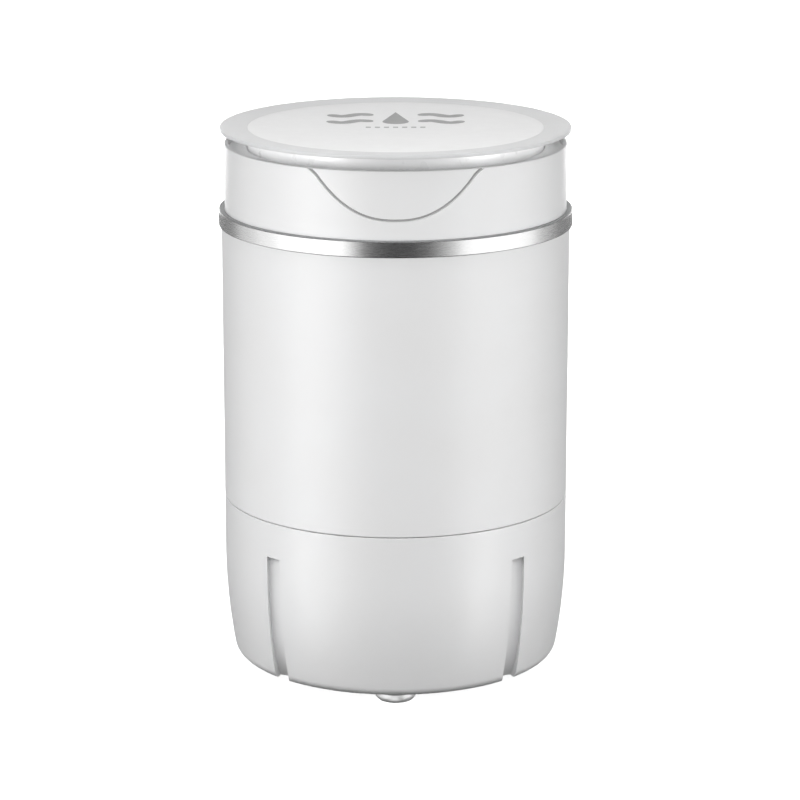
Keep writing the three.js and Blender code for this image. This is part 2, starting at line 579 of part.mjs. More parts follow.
piece(
  'cord_gland',
  at(rearward([
    [3.6, 99], [8.6, 99], [8.6, 101.5], [7, PANEL_BACK - GAP], [7, PANEL_FACE + GAP], [10, PANEL_FACE + GAP],
    [9, PANEL_FACE + 3], [3.6, PANEL_FACE + 3.6],
  ]), FITTINGS_X, 0, FITTINGS_Z),
  darkPlastic,
);
piece(
  'drain_outlet',
  at(rearward([
    [TUBE_IN, 95.5], [TUBE_OUT, 95.5], [TUBE_OUT, 101.5], [11, 101.5], [11, PANEL_BACK - GAP],
    [TUBE_OUT, PANEL_BACK - GAP], [TUBE_OUT, OUTLET_END], [TUBE_IN, OUTLET_END],
  ]), -FITTINGS_X, 0, FITTINGS_Z),
  greyPlastic,
);
const capBore = TUBE_OUT + GAP;
piece(
  'drain_cap',
  at(rearward([
    [0, OUTLET_END + GAP], [capBore, OUTLET_END + GAP], [capBore, PANEL_FACE + 1], [9.4, PANEL_FACE + 1],
    [9.4, OUTLET_END + 1.5], [8.4, OUTLET_END + 2.8], [0, OUTLET_END + 2.8],
  ]), -FITTINGS_X, 0, FITTINGS_Z),
  darkPlastic,
);

// hose from the tub's drain spigot, down and back to the outlet
function hoseSolid(radius, extend) {
  const bend = 14;
  const route = new THREE.CurvePath();
  const corner = new THREE.Vector3(-FITTINGS_X, DRAIN_Y, FITTINGS_Z);
  const bendTop = corner.clone().add(new THREE.Vector3(0, 0, bend));
  const bendEnd = corner.clone().add(new THREE.Vector3(0, bend, 0));
  const start = new THREE.Vector3(-FITTINGS_X, DRAIN_Y, TUB_UNDER - 2 + extend);
  const end = new THREE.Vector3(-FITTINGS_X, 101 + extend, FITTINGS_Z);
  route.add(new THREE.LineCurve3(start, bendTop));
  route.add(new THREE.QuadraticBezierCurve3(bendTop, corner, bendEnd));
  route.add(new THREE.LineCurve3(bendEnd, end));
  const section = new THREE.Shape();
  section.absarc(0, 0, radius, 0, 2 * Math.PI);
  return solid(new THREE.ExtrudeGeometry(section, { steps: 14, extrudePath: route, curveSegments: 5 }));
}
const hoseBore = TUBE_OUT + 2 * GAP;
piece('drain_hose', cut(hoseSolid(hoseBore + HOSE_WALL, 0), hoseSolid(hoseBore, 0.2)), rubber);

export default washer;
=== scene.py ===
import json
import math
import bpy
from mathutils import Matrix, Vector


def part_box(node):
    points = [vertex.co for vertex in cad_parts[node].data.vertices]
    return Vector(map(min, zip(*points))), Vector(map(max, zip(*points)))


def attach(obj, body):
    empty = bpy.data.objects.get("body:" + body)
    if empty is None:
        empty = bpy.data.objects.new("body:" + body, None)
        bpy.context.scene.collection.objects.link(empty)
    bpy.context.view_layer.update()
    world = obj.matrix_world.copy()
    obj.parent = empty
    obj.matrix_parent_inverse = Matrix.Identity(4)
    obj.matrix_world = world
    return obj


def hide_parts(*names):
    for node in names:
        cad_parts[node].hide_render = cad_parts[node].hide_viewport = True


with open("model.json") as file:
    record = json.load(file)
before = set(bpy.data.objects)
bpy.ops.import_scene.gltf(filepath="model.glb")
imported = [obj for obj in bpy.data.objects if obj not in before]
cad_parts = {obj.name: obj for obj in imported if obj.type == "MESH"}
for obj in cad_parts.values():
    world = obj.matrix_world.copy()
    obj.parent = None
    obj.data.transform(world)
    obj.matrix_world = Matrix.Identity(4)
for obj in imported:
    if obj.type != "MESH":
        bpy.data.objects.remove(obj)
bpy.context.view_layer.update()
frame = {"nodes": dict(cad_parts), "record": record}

# Portable mini washer: the looks, built around the CAD frame.
# Outlines are in millimetres: +Z up, front towards -Y, angles counted from the front towards +X.
from types import SimpleNamespace

import bmesh
import bpy
from mathutils import Matrix, Vector

MM = 0.001
GAP = 0.3  # between pieces that touch
WALL = 3.0  # moulded casing walls
SMOOTH_ANGLE = math.radians(32)
MERGE = 2e-6  # metres, between vertices that become one
BEYOND = 5  # how far a cutting tool reaches past what it cuts
PRINT_RISE = 0.12  # how far print stands off its surface
PRINT_SINK = 0.05

# base casing
TAPER_Z = 90.0  # its wall leans in below this height, on a large arc
TAPER_RADIUS = 420.0
EDGE_RADIUS = 8.0
SEAM_GAP = 0.8  # between the base and the body above it
SEAM_LIP = 0.12
COVER_SEAT_R = 103.0  # the bottom cover sits inside this, under a ledge
LEDGE_R = 92.0
LEDGE_Z = 14.3
LEDGE_TOP = 18.0
SPIGOT_R = 121.2  # the base and the collar each have a ring that fits inside the body
GROOVE_TOP = 105.4
GROOVE_SKIN = 2.5  # wall behind a groove
GROOVE_NEAR = 2.0  # degrees from a groove's angle to the side that shows
GROOVE_FAR = 3.7  # degrees the other way, to the side that is hidden
GROOVE_SPREAD = 0.009  # further degrees to that side for each mm down
GROOVE_DEPTH = 5.2
GROOVE_DEEPEN = 7.5  # further depth at the base's underside
GROOVE_FLARE = 8  # how late, on the way down, that further depth comes
GROOVE_FLOOR_R = 105.0  # it stays clear of the bottom cover's seat
GROOVE_START = 0.8  # the floor's depth at the side that shows, as a share of its depth at the other
GROOVE_SLANT = 1.0  # how far its sides run sideways as they go in, so that it faces straight across
GROOVE_LEAN = 0.72  # the near side's share of that slant
GROOVE_ROW = 8  # between the heights of a groove's sections
GROOVE_OPEN = 3  # how far a groove's sides run out past the wall
GROOVES = {45: 1, 90: 1, 135: -1, 225: 1, 270: -1, 315: -1}  # angle: which way from there its near side is

# bell-shaped recess at the front of the collar
BELL_DEPTH = 1.3
BELL_Z = 355.5
BELL_HALF_WIDTH = 59.0
BELL_POWER = 2.35
BELL_SHOULDER = 1.3  # the shoulders' depth below the collar's top
# (height, depth) up through the line round it, the heights in units of half the line's width
BELL_LINE = (
    (-1.0, 0.0), (-0.85, 0.2), (-0.65, 2.2), (-0.4, 2.4),
    (0.4, 2.4), (0.65, 2.2), (1.0, BELL_DEPTH),
)
BELL_LINE_HALF = 0.85

# rear panel and its fittings, each at (x, z)
PANEL_FACE = 108.0
PANEL_CORNER = 8
INSIDE_BASE = 95  # a cut from here rearwards goes through the panel and the base's wall
KNOB_AT = (0, 88)
OUTLET_AT = (-30, 48)
GLAND_AT = (30, 48)

# bottom cover
SCREW_ANGLES = (45, 135, 225, 315)
FOOT_SIDES = {"foot_front": 0, "foot_right": 90, "foot_back": 180, "foot_left": 270}
FOOT_CIRCLE = 87
COVER_SCREW_CIRCLE = 97.3
SCREW_HOLE_R = 2.2
VENT_CIRCLES = (50, 60, 70)
PAD = {"inner": 70, "outer": 102, "half_angle": 18}


def measure(node):
    """Where a CAD node is, in mm: its middle in x and y, its half width, and its reach in z and y."""
    low, high = (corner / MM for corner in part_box(node))
    return SimpleNamespace(
        x=(low.x + high.x) / 2,
        y=(low.y + high.y) / 2,
        r=(high.x - low.x) / 2,
        low=low.z,
        high=high.z,
        front=low.y,
        back=high.y,
    )


base = measure("base_shell")
body = measure("body_shell")
ring = measure("trim_ring")
collar = measure("collar")
cover = measure("bottom_cover")
tub = measure("wash_tub")
plate = measure("lid_plate")
panel = measure("lid_panel")
plug = measure("lid_plug")
seal = measure("lid_seal")
rear = measure("rear_panel")
seam_z = body.low - SEAM_GAP  # the top of the base's outer wall


# ---------- shader nodes ----------
def add_node(tree, kind, values=None, **settings):
    """A new node. Each of its values is a constant, or a socket that is linked to it."""
    node = tree.nodes.new(kind)
    for key, value in settings.items():
        setattr(node, key, value)
    for key, value in (values or {}).items():
        if isinstance(value, bpy.types.NodeSocket):
            tree.links.new(value, node.inputs[key])
        else:
            node.inputs[key].default_value = value
    return node


def add_maths(tree, operation, a, b):
    return add_node(tree, "ShaderNodeMath", {0: a, 1: b}, operation=operation).outputs[0]


# ---------- camera, light and floor ----------
LENS_MM = 143.19
SENSOR_MM = 36
CAMERA_AT = (0.0, -2.2462, 0.7819)
CAMERA_TILT = 75.43
CAMERA_SHIFT = 0.0055
LIGHTS_FACE = Vector((0, 0, 0.2))  # the washer's middle


def in_scene(name, data):
    """A new object, in the scene."""
    made = bpy.data.objects.new(name, data)
    bpy.context.scene.collection.objects.link(made)
    return made


def add_camera():
    data = bpy.data.cameras.new("camera")
    data.lens = LENS_MM
    data.sensor_width = SENSOR_MM
    data.shift_x = CAMERA_SHIFT
    data.clip_end = 100
    camera = in_scene("camera", data)
    camera.location = CAMERA_AT
    camera.rotation_euler = (math.radians(CAMERA_TILT), 0, 0)
    bpy.context.scene.camera = camera


def softbox(name, azimuth, elevation, distance, width, height, radiance, diffuse=True, glossy=True):
    """An area light that faces the washer's middle, in metres. Azimuth 0 is the front, 90 is +X."""
    turn, rise = math.radians(azimuth), math.radians(elevation)
    towards = Vector((math.sin(turn) * math.cos(rise), -math.cos(turn) * math.cos(rise), math.sin(rise)))
    data = bpy.data.lights.new(name, "AREA")
    data.shape = "RECTANGLE"
    data.size = width
    data.size_y = height
    data.energy = radiance * math.pi * width * height
    light = in_scene(name, data)
    light.location = LIGHTS_FACE + towards * distance
    light.rotation_euler = (-towards).to_track_quat("-Z", "Y").to_euler()
    light.visible_camera = False
    light.visible_diffuse = diffuse
    light.visible_glossy = glossy
    return light


def link_light(light, pieces, state="INCLUDE"):
    """Keeps a light to these pieces, or keeps these pieces out of it."""
    group = bpy.data.collections.new(f"{light.name}_group")
    for piece in pieces:
        group.objects.link(piece)
    for member in group.collection_objects:
        member.light_linking.link_state = state
    light.light_linking.receiver_collection = group


def pieces_of(*nodes):
    return [made_for[node] for node in nodes]


WORLD_HORIZON = 0.40  # the surroundings, brightest at the horizon
WORLD_FALLOFF = 1.5  # how fast they darken away from it
WORLD_FRONT = 0.30  # the share of it left in the dim patch at the front
DIM_PATCH = (0.0, -0.966, -0.259)
PATCH_STARTS = 0.70  # the cosine of the angle from the patch's middle to its outer edge
PATCH_FULL = 0.985  # the cosine of the angle to where it is fully dim
# The floor's own lights, both from the front: degrees from straight down, softness in degrees, strength.
FLOOR_LIGHTS = {"floor_high": (45, 50, 4.5), "floor_low": (79, 14, 13.0)}

# Radiance by azimuth. The soft wall of light round the front reaches under the lid's overhang.
SOFT_WALL = {-100: 1.8, -75: 3.9, -50: 2.7, -25: 3.5, 0: 3.1, 25: 3.0, 50: 1.7, 75: 3.0, 100: 2.8}
SOFT_WALL_RISE = 4
WALL_BOX = (2.4, 1.0, 0.9)  # its lights' distance, width and height in metres
BASE_LIGHT_RISE = 29  # the base has its own wall of light this high, so that it darkens as it leans in
BASE_LIGHT = 1.12
NECK_LIGHT = 7.5
NECK_LIGHT_AZIMUTH = 76
NECK_LIGHT_RISE = 14
NECK_LIGHT_BOX = (2.0, 0.8, 1.5)
# Upright strips that only show as reflections: some for a single node, some for all of them.
STRIP_RISE = -8
STRIP_BOX = (1.8, 0.6, 1.6)
SHEEN = {
    "base_shell": {-58: 6.0, 58: 4.0},
    "body_shell": {-58: 2.5, 58: 1.0},
    "collar": {-58: 2.5},
    "wash_tub": {-54: 16.0, 66: 17.0},
}
GLOSS_STRIPS = {
    -110: 0.9, -90: 1.5, -70: 2.3, -50: 2.4, -35: 2.2,
    35: 0.6, 50: 2.1, 70: 2.3, 90: 1.9, 110: 0.5,
}
FLOOR_HALF = 15  # metres


def add_world():
    """Surroundings that are brightest at the horizon, with a dim patch at the front."""
    world = bpy.data.worlds.new("studio")
    world.use_nodes = True
    tree = world.node_tree
    direction = add_node(tree, "ShaderNodeTexCoord").outputs["Generated"]
    height = add_node(tree, "ShaderNodeSeparateXYZ", {0: direction}).outputs["Z"]
    rise = add_maths(tree, "MULTIPLY", height, height)
    horizon = add_maths(tree, "POWER", add_maths(tree, "SUBTRACT", 1.0, rise), WORLD_FALLOFF)
    facing = add_node(tree, "ShaderNodeVectorMath", {0: direction, 1: DIM_PATCH}, operation="DOT_PRODUCT")
    values = {"Value": facing.outputs["Value"], "From Min": PATCH_STARTS, "From Max": PATCH_FULL}
    values |= {"To Min": 1.0, "To Max": WORLD_FRONT}
    patch = add_node(tree, "ShaderNodeMapRange", values, interpolation_type="SMOOTHSTEP")
    glow = add_maths(tree, "MULTIPLY", horizon, WORLD_HORIZON)
    level = add_maths(tree, "MULTIPLY", glow, patch.outputs["Result"])
    backdrop = tree.nodes["Background"]
    backdrop.inputs["Color"].default_value = (1, 1, 1, 1)
    tree.links.new(level, backdrop.inputs["Strength"])
    bpy.context.scene.world = world


def add_lights():
    for azimuth, radiance in SOFT_WALL.items():
        low = softbox(f"soft_wall_{azimuth}", azimuth, SOFT_WALL_RISE, *WALL_BOX, radiance, glossy=False)
        brighter = BASE_LIGHT * radiance
        high = softbox(f"high_wall_{azimuth}", azimuth, BASE_LIGHT_RISE, *WALL_BOX, brighter, glossy=False)
        kept_out = ("base_shell",) if azimuth else ("base_shell", "wash_tub")  # the neck is darker there
        link_light(low, pieces_of(*kept_out), "EXCLUDE")
        link_light(high, pieces_of("base_shell"))
    for node, radiances in SHEEN.items():
        for azimuth, radiance in radiances.items():
            name = f"sheen_{node}_{azimuth}"
            sheen = softbox(name, azimuth, STRIP_RISE, *STRIP_BOX, radiance, diffuse=False)
            link_light(sheen, pieces_of(node))
    for side in (-1, 1):
        name, azimuth = f"neck_light_{side}", side * NECK_LIGHT_AZIMUTH
        neck_light = softbox(name, azimuth, NECK_LIGHT_RISE, *NECK_LIGHT_BOX, NECK_LIGHT, glossy=False)
        link_light(neck_light, pieces_of("wash_tub", "deck_ring"))
    foot_light = softbox("foot_light", -3, -38, 0.7, 0.35, 0.6, 1.9, diffuse=False)
    link_light(foot_light, pieces_of("foot_front"))
    for azimuth, radiance in GLOSS_STRIPS.items():
        softbox(f"gloss_strip_{azimuth}", azimuth, STRIP_RISE, *STRIP_BOX, radiance, diffuse=False)
    softbox("over_lid", 0, 75, 0.72, 0.3, 0.3, 2.8, glossy=False)
    softbox("overhead", 0, 85, 2.4, 1.6, 1.6, 2.6)
    softbox("behind", 180, 30, 2.4, 1.6, 1.0, 0.85)
    softbox("behind_low", 180, 3, 1.8, 2.0, 0.6, 4.0, diffuse=False)


def add_floor():
    """A pale floor whose own lights leave it white. It neither lights the washer nor reflects in it."""
    sides = ((-1, -1), (1, -1), (1, 1), (-1, 1))
    builder = bmesh.new()
    builder.faces.new([builder.verts.new((x * FLOOR_HALF, y * FLOOR_HALF, 0)) for x, y in sides])
    floor = new_object("floor", builder)
    floor.data.materials.append(finishes["pale_floor"])
    floor.visible_diffuse = False
    floor.visible_glossy = False
    for name, (lean, softness, power) in FLOOR_LIGHTS.items():
        lamp = bpy.data.lights.new(name, "SUN")
        lamp.angle = math.radians(softness)
        lamp.energy = power
        sun = in_scene(name, lamp)
        sun.rotation_euler = (math.radians(lean), 0, 0)
        link_light(sun, [floor])


# ---------- materials ----------
MIX_A, MIX_B, MIX_RESULT = 6, 7, 2  # a Mix node's sockets for colours

finishes = {}  # a material for each name


class Nodes:
    """A material's node tree, with short ways to add to it."""

    def __init__(self, name):
        self.name = name
        self.material = bpy.data.materials.new(name)
        self.material.use_nodes = True
        self.tree = self.material.node_tree
        self.shader = self.tree.nodes["Principled BSDF"]
        self.place = self.add("ShaderNodeTexCoord").outputs["Object"]

    def add(self, kind, values=None, **settings):
        return add_node(self.tree, kind, values, **settings)

    def noise(self, size_mm, detail):
        """Noise from 0 to 1 with features of about this size."""
        values = {"Vector": self.place, "Scale": 1 / (size_mm * MM), "Detail": detail}
        return self.add("ShaderNodeTexNoise", values).outputs["Fac"]

    def spread(self, value, low, high, contrast=0.3):
        """The middle of a noise, stretched to run from low to high."""
        start, end = 0.5 - contrast / 2, 0.5 + contrast / 2
        values = {"Value": value, "From Min": start, "From Max": end, "To Min": low, "To Max": high}
        return self.add("ShaderNodeMapRange", values).outputs["Result"]

    def blend(self, factor, dark, light):
        node = self.add("ShaderNodeMix", data_type="RGBA")
        self.tree.links.new(factor, node.inputs["Factor"])
        node.inputs[MIX_A].default_value = (*dark, 1)
        node.inputs[MIX_B].default_value = (*light, 1)
        return node.outputs[MIX_RESULT]

    def bump(self, height, depth_mm, strength, after=None):
        values = {"Height": height, "Distance": depth_mm * MM, "Strength": strength}
        if after:
            values["Normal"] = after
        return self.add("ShaderNodeBump", values).outputs["Normal"]

    def around(self, across_mm, along):
        """Coordinates for fine lines that run round the z axis."""
        split = self.add("ShaderNodeSeparateXYZ", {"Vector": self.place}).outputs
        front = add_maths(self.tree, "MULTIPLY", split["Y"], -1.0)
        angle = add_maths(self.tree, "ARCTAN2", split["X"], front)
        stretched = add_maths(self.tree, "MULTIPLY", angle, along)
        lines = add_maths(self.tree, "MULTIPLY", split["Z"], 1 / (across_mm * MM))
        return self.add("ShaderNodeCombineXYZ", {"X": stretched, "Z": lines}).outputs[0]

    def use(self, colour, roughness, normal=None, **constants):
        for socket, value in (("Base Color", colour), ("Roughness", roughness), ("Normal", normal)):
            if value:
                self.tree.links.new(value, self.shader.inputs[socket])
        for socket, value in constants.items():
            self.shader.inputs[socket.replace("_", " ")].default_value = value
        finishes[self.name] = self.material


def grey(level, warmth=0.0):
    return (level * (1 + warmth), level, level * (1 - warmth))


def moulded(name, dark, light, roughness, grain_mm, grain_depth, **constants):
    """Moulded plastic: a slow drift of colour, a varying gloss, shallow sink marks and a fine grain."""
    n = Nodes(name)
    drift = n.spread(n.noise(55, 2), 0, 1, 0.4)
    gloss = n.spread(n.noise(9, 4), roughness - 0.03, roughness + 0.03)
    sink = n.bump(n.noise(34, 1), 0.05, 0.25)
    grain = n.bump(n.noise(grain_mm, 3), grain_depth, 0.5, after=sink)
    n.use(n.blend(drift, dark, light), gloss, grain, **constants)


def brushed(name, dark, light, roughness, across_mm, **constants):
    """Metal brushed round its axis: fine lines that vary in shade, gloss and depth."""
    n = Nodes(name)
    values = {"Vector": n.around(across_mm, 9.0), "Scale": 1.0, "Detail": 3.0}
    lines = n.add("ShaderNodeTexNoise", values).outputs["Fac"]
    shade = n.spread(lines, 0, 1, 0.5)
    gloss = n.spread(lines, roughness - 0.04, roughness + 0.05, 0.5)
    n.use(n.blend(shade, dark, light), gloss, n.bump(lines, 0.012, 0.12), **constants)


def plated(name, dark, light, roughness, **constants):
    """Plated or cast metal: cloudy shade, uneven gloss and a fine grain."""
    n = Nodes(name)
    clouds = n.spread(n.noise(4, 5), 0, 1, 0.4)
    gloss = n.spread(n.noise(2.2, 4), roughness - 0.07, roughness + 0.09)
    n.use(n.blend(clouds, dark, light), gloss, n.bump(n.noise(0.7, 3), 0.05, 0.4), **constants)


def rubbery(name, dark, light, roughness):
    """Rubber: matt, with a fine stipple and a dusty bloom."""
    n = Nodes(name)
    bloom = n.spread(n.noise(12, 4), 0, 1, 0.35)
    gloss = n.spread(n.noise(3, 3), roughness - 0.06, roughness + 0.06)
    n.use(n.blend(bloom, dark, light), gloss, n.bump(n.noise(0.5, 2), 0.04, 0.5))


def floor_paint(name):
    """The floor's matt paint, slightly uneven."""
    n = Nodes(name)
    tone = n.spread(n.noise(400, 3), 0, 1, 0.4)
    matt = n.spread(n.noise(60, 3), 0.75, 0.85)
    n.use(n.blend(tone, grey(0.93), grey(0.95)), matt, **{"Specular IOR Level": 0.1})


moulded("white_abs", grey(0.805), grey(0.822, -0.004), 0.36, 0.45, 0.010)
moulded("tub_white", grey(0.785), grey(0.805, -0.004), 0.30, 0.6, 0.002)
moulded("frosted_lid", grey(0.74, -0.004), grey(0.78, -0.006), 0.42, 0.3, 0.012, Alpha=0.86)
moulded("lid_white", grey(0.75), grey(0.765), 0.34, 0.4, 0.002)
brushed("trim_metal", grey(0.44), grey(0.49), 0.26, 0.25, Metallic=1.0, Anisotropic=0.4)
brushed("foot_silver", grey(0.56), grey(0.64), 0.34, 0.3, Metallic=0.45)
moulded("panel_grey", grey(0.30, -0.02), grey(0.33, -0.02), 0.52, 0.5, 0.05)
moulded("knob_white", grey(0.78), grey(0.81), 0.34, 0.5, 0.010)
moulded("dark_plastic", grey(0.030, -0.05), grey(0.040, -0.05), 0.55, 0.5, 0.05)
rubbery("grey_rubber", grey(0.07), grey(0.10), 0.78)
rubbery("silicone", grey(0.62, -0.01), grey(0.68, -0.01), 0.6)
plated("zinc_steel", (0.52, 0.52, 0.55), (0.64, 0.63, 0.60), 0.34, Metallic=1.0)
plated("cast_metal", grey(0.42), grey(0.52), 0.55, Metallic=0.9)
moulded("print_ink", grey(0.31), grey(0.34), 0.5, 0.3, 0.01)
moulded("print_white", grey(0.75), grey(0.80), 0.5, 0.3, 0.01)
# painted shade: the grey of the strip in the collar's bell groove, which stands for its shadow
moulded("bell_shade_grey", grey(0.33), grey(0.36), 0.5, 0.3, 0.01)
moulded("dark_ink", grey(0.05), grey(0.07), 0.5, 0.3, 0.01)
floor_paint("pale_floor")


# ---------- mesh helpers ----------
def new_object(name, builder):
    data = bpy.data.meshes.new(name)
    builder.to_mesh(data)
    builder.free()
    return in_scene(name, data)


def polar(radius, angle, height):
    return Vector((radius * math.sin(angle), -radius * math.cos(angle), height))


def even(count):
    return [2 * math.pi * i / count for i in range(count)]


def skin(name, columns, outline_at):
    """A closed surface round the z axis, through the outline that outline_at(angle) gives in each column."""
    builder = bmesh.new()
    rings = []
    for angle in columns:
        outline = outline_at(angle)
        rings.append([builder.verts.new(polar(radius, angle, height) * MM) for radius, height in outline])
    on_axis = outline[0][0] == 0 and outline[-1][0] == 0
    steps = len(outline) - (1 if on_axis else 0)
    for here, after in zip(rings, rings[1:] + rings[:1]):
        for i in range(steps):
            j = (i + 1) % len(outline)
            builder.faces.new((here[i], after[i], after[j], here[j]))
    bmesh.ops.remove_doubles(builder, verts=builder.verts, dist=MERGE)
    bmesh.ops.recalc_face_normals(builder, faces=builder.faces)
    return new_object(name, builder)


ROUNDING_LIMIT = 0.48  # the share of a side that one rounding may take


def rounded(corners, steps=4):
    """An outline whose corners are rounded: (radius, height) or (radius, height, the rounding's size)."""
    points = []
    for i, corner in enumerate(corners):
        here = Vector(corner[:2])
        size = corner[2] if len(corner) > 2 else 0
        if not size:
            points.append(tuple(here))
            continue
        before = Vector(corners[i - 1][:2]) - here
        after = Vector(corners[(i + 1) % len(corners)][:2]) - here
        start = here + before.normalized() * min(size, ROUNDING_LIMIT * before.length)
        end = here + after.normalized() * min(size, ROUNDING_LIMIT * after.length)
        for step in range(steps + 1):
            t = step / steps
            points.append(tuple(start * (1 - t) ** 2 + here * 2 * t * (1 - t) + end * t * t))
    return points


def lathe(name, corners, at=(0, 0), sides=192):
    """A piece turned round a vertical axis at (x, y)."""
    outline = rounded(corners)
    return placed(skin(name, even(sides), lambda angle: outline), *at)


def facing_rear(piece, at):
    """Lays a piece made round the z axis along +Y at (x, z)."""
    return placed(moved(piece, Matrix.Rotation(math.radians(-90), 4, "X")), at[0], 0, at[1])


def rear_lathe(name, corners, at, sides=96):
    """A piece turned round an axis along +Y at (x, z): its outline is (radius, y)."""
    outline = rounded(corners)
    return facing_rear(skin(name, even(sides), lambda angle: outline), at)


def loft(name, sections):
    """A solid through closed sections, each a list of (x, y, z)."""
    builder = bmesh.new()
    rings = [[builder.verts.new(Vector(point) * MM) for point in section] for section in sections]
    builder.faces.new(rings[0])
    builder.faces.new(rings[-1])
    for here, after in zip(rings, rings[1:]):
        for i in range(len(here)):
            j = (i + 1) % len(here)
            builder.faces.new((here[i], after[i], after[j], here[j]))
    bmesh.ops.recalc_face_normals(builder, faces=builder.faces)
    return new_object(name, builder)


def prism(name, outline, low, high, rearward=False):
    """An outline raised from low to high along z, or along y when its points are (x, z)."""
    place = (lambda x, y, level: (x, level, y)) if rearward else (lambda x, y, level: (x, y, level))
    return loft(name, [[place(x, y, level) for x, y in outline] for level in (low, high)])


def arc(x, y, radius, start, end, steps):
    """Points on an arc about (x, y), angles in degrees from +x."""
    angles = [math.radians(start + (end - start) * i / steps) for i in range(steps + 1)]
    return [(x + radius * math.cos(a), y + radius * math.sin(a)) for a in angles]


def rounded_rectangle(left, right, low, high, corner, steps=8):
    return [
        *arc(right - corner, low + corner, corner, -90, 0, steps),
        *arc(right - corner, high - corner, corner, 0, 90, steps),
        *arc(left + corner, high - corner, corner, 90, 180, steps),
        *arc(left + corner, low + corner, corner, 180, 270, steps),
    ]


def moved(piece, matrix):
    piece.data.transform(matrix)
    return piece


def turned(piece, degrees):
    return moved(piece, Matrix.Rotation(math.radians(degrees), 4, "Z"))


def placed(piece, x, y, z=0):
    return moved(piece, Matrix.Translation(Vector((x, y, z)) * MM))


def on_circle(radius, degrees):
    angle = math.radians(degrees)
    return radius * math.sin(angle), -radius * math.cos(angle)


def gathered(name, parts):
    """One object made of several that don't touch."""
    builder = bmesh.new()
    for part in parts:
        builder.from_mesh(part.data)
        bpy.data.objects.remove(part)
    return new_object(name, builder)


def settle(piece):
    """Applies the piece's modifiers."""
    graph = bpy.context.evaluated_depsgraph_get()
    data = bpy.data.meshes.new_from_object(piece.evaluated_get(graph))
    piece.modifiers.clear()
    piece.data = data
    return piece


def combine(piece, tool, operation):
    modifier = piece.modifiers.new("combine", "BOOLEAN")
    modifier.operation = operation
    modifier.solver = "EXACT"
    modifier.object = tool
    settle(piece)
    bpy.data.objects.remove(tool)
    return piece


def softened(piece, width, segments=3, angle=40):
    """Rounds the piece's sharp edges."""
    modifier = piece.modifiers.new("bevel", "BEVEL")
    modifier.width = width * MM
    modifier.segments = segments
    modifier.limit_method = "ANGLE"
    modifier.angle_limit = math.radians(angle)
    return settle(piece)


body_of = {node: name for name, nodes in frame["record"]["behaviour"]["bodies"].items() for node in nodes}
slot_of = {part["node"]: part["material_slot"] for part in frame["record"]["subparts"]}
made_for = {}  # CAD node: the piece that stands for it


def present(piece, *nodes, rides=None, finish=None):
    """Shades a finished piece and puts it on its body, where it stands for its CAD nodes."""
    made_for.update(dict.fromkeys(nodes, piece))
    slot = slot_of[nodes[0]] if nodes else None
    piece.data.materials.clear()
    piece.data.materials.append(finishes[finish or slot])
    piece.data.shade_smooth()
    piece.data.set_sharp_from_angle(angle=SMOOTH_ANGLE)
    weighted = piece.modifiers.new("weighted_normals", "WEIGHTED_NORMAL")
    weighted.keep_sharp = True
    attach(piece, rides or body_of[nodes[0]])
    if nodes:
        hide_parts(*nodes)
    return piece


# ---------- base casing ----------
def base_radius(z):
    return base.r - max(0.0, TAPER_Z - z) ** 2 / (2 * TAPER_RADIUS)


def base_outside():
    """The base's outer wall, from its flat underside up to the seam."""
    edge_z = base.low + EDGE_RADIUS
    lean = math.degrees((TAPER_Z - edge_z) / TAPER_RADIUS)
    start_z = edge_z - EDGE_RADIUS * math.sin(math.radians(lean))
    edge_r = base_radius(start_z) - EDGE_RADIUS * math.cos(math.radians(lean))
    edge = arc(edge_r, edge_z, EDGE_RADIUS, -90, -lean, 10)
    taper_steps = 24
    taper = [start_z + (TAPER_Z - start_z) * i / taper_steps for i in range(1, taper_steps + 1)]
    lip = [(base.r, seam_z - SEAM_LIP), (base.r - SEAM_LIP, seam_z)]
    return [*edge, *((base_radius(z), z) for z in taper), *lip]


def groove_point(z, slant, start, depth):
    """(degrees from a groove's angle, radius) this deep in a side that starts this far from the angle."""
    return start + math.degrees(slant * depth / base_radius(z)), base_radius(z) - depth


def groove_sides(z):
    """A groove at this height: where its sides start, in degrees from its angle, and how deep it is."""
    down = max(0.0, GROOVE_TOP - z)
    deepen = GROOVE_DEEPEN * (down / (GROOVE_TOP - base.low)) ** GROOVE_FLARE
    depth = min(GROOVE_DEPTH + deepen, base_radius(z) - GROOVE_FLOOR_R)
    return GROOVE_NEAR, -GROOVE_FAR - GROOVE_SPREAD * down, depth


def groove_section(z, slant):
    """Round the groove: in along its near side, across its hollow floor and out along its far side."""
    near, far, depth = groove_sides(z)
    steps = 12
    points = [groove_point(z, slant * GROOVE_LEAN, near, -GROOVE_OPEN)]
    for i in range(steps + 1):
        share = i / steps
        hollow = 1 - (1 - GROOVE_START) * (1 - share) ** 2
        lean = slant * (GROOVE_LEAN + (1 - GROOVE_LEAN) * share)
        points.append(groove_point(z, lean, near + (far - near) * share, depth * hollow))
    return [*points, groove_point(z, slant, far, -GROOVE_OPEN)]


def rib_section(z, slant):
    """The thicker wall that a groove is cut into."""
    near, far, depth = groove_sides(z)
    front, back = WALL / 2, depth + GROOVE_SKIN
    corners = ((near, front), (near, back), (far, back), (far, front))
    wider = math.degrees(GROOVE_SKIN / base_radius(z))
    return [groove_point(z, slant, start + math.copysign(wider, start), deep) for start, deep in corners]


def along_groove(name, section, heights):
    """The section, carried down every groove."""
    made = []
    for degrees, way in GROOVES.items():
        slant = 0.0 if degrees in (90, 270) else GROOVE_SLANT
        sections = []
        for z in heights:
            points = section(z, slant)
            sections.append([(*on_circle(radius, degrees + way * offset), z) for offset, radius in points])
        made.append(loft(name, sections))
    return gathered(name, made)


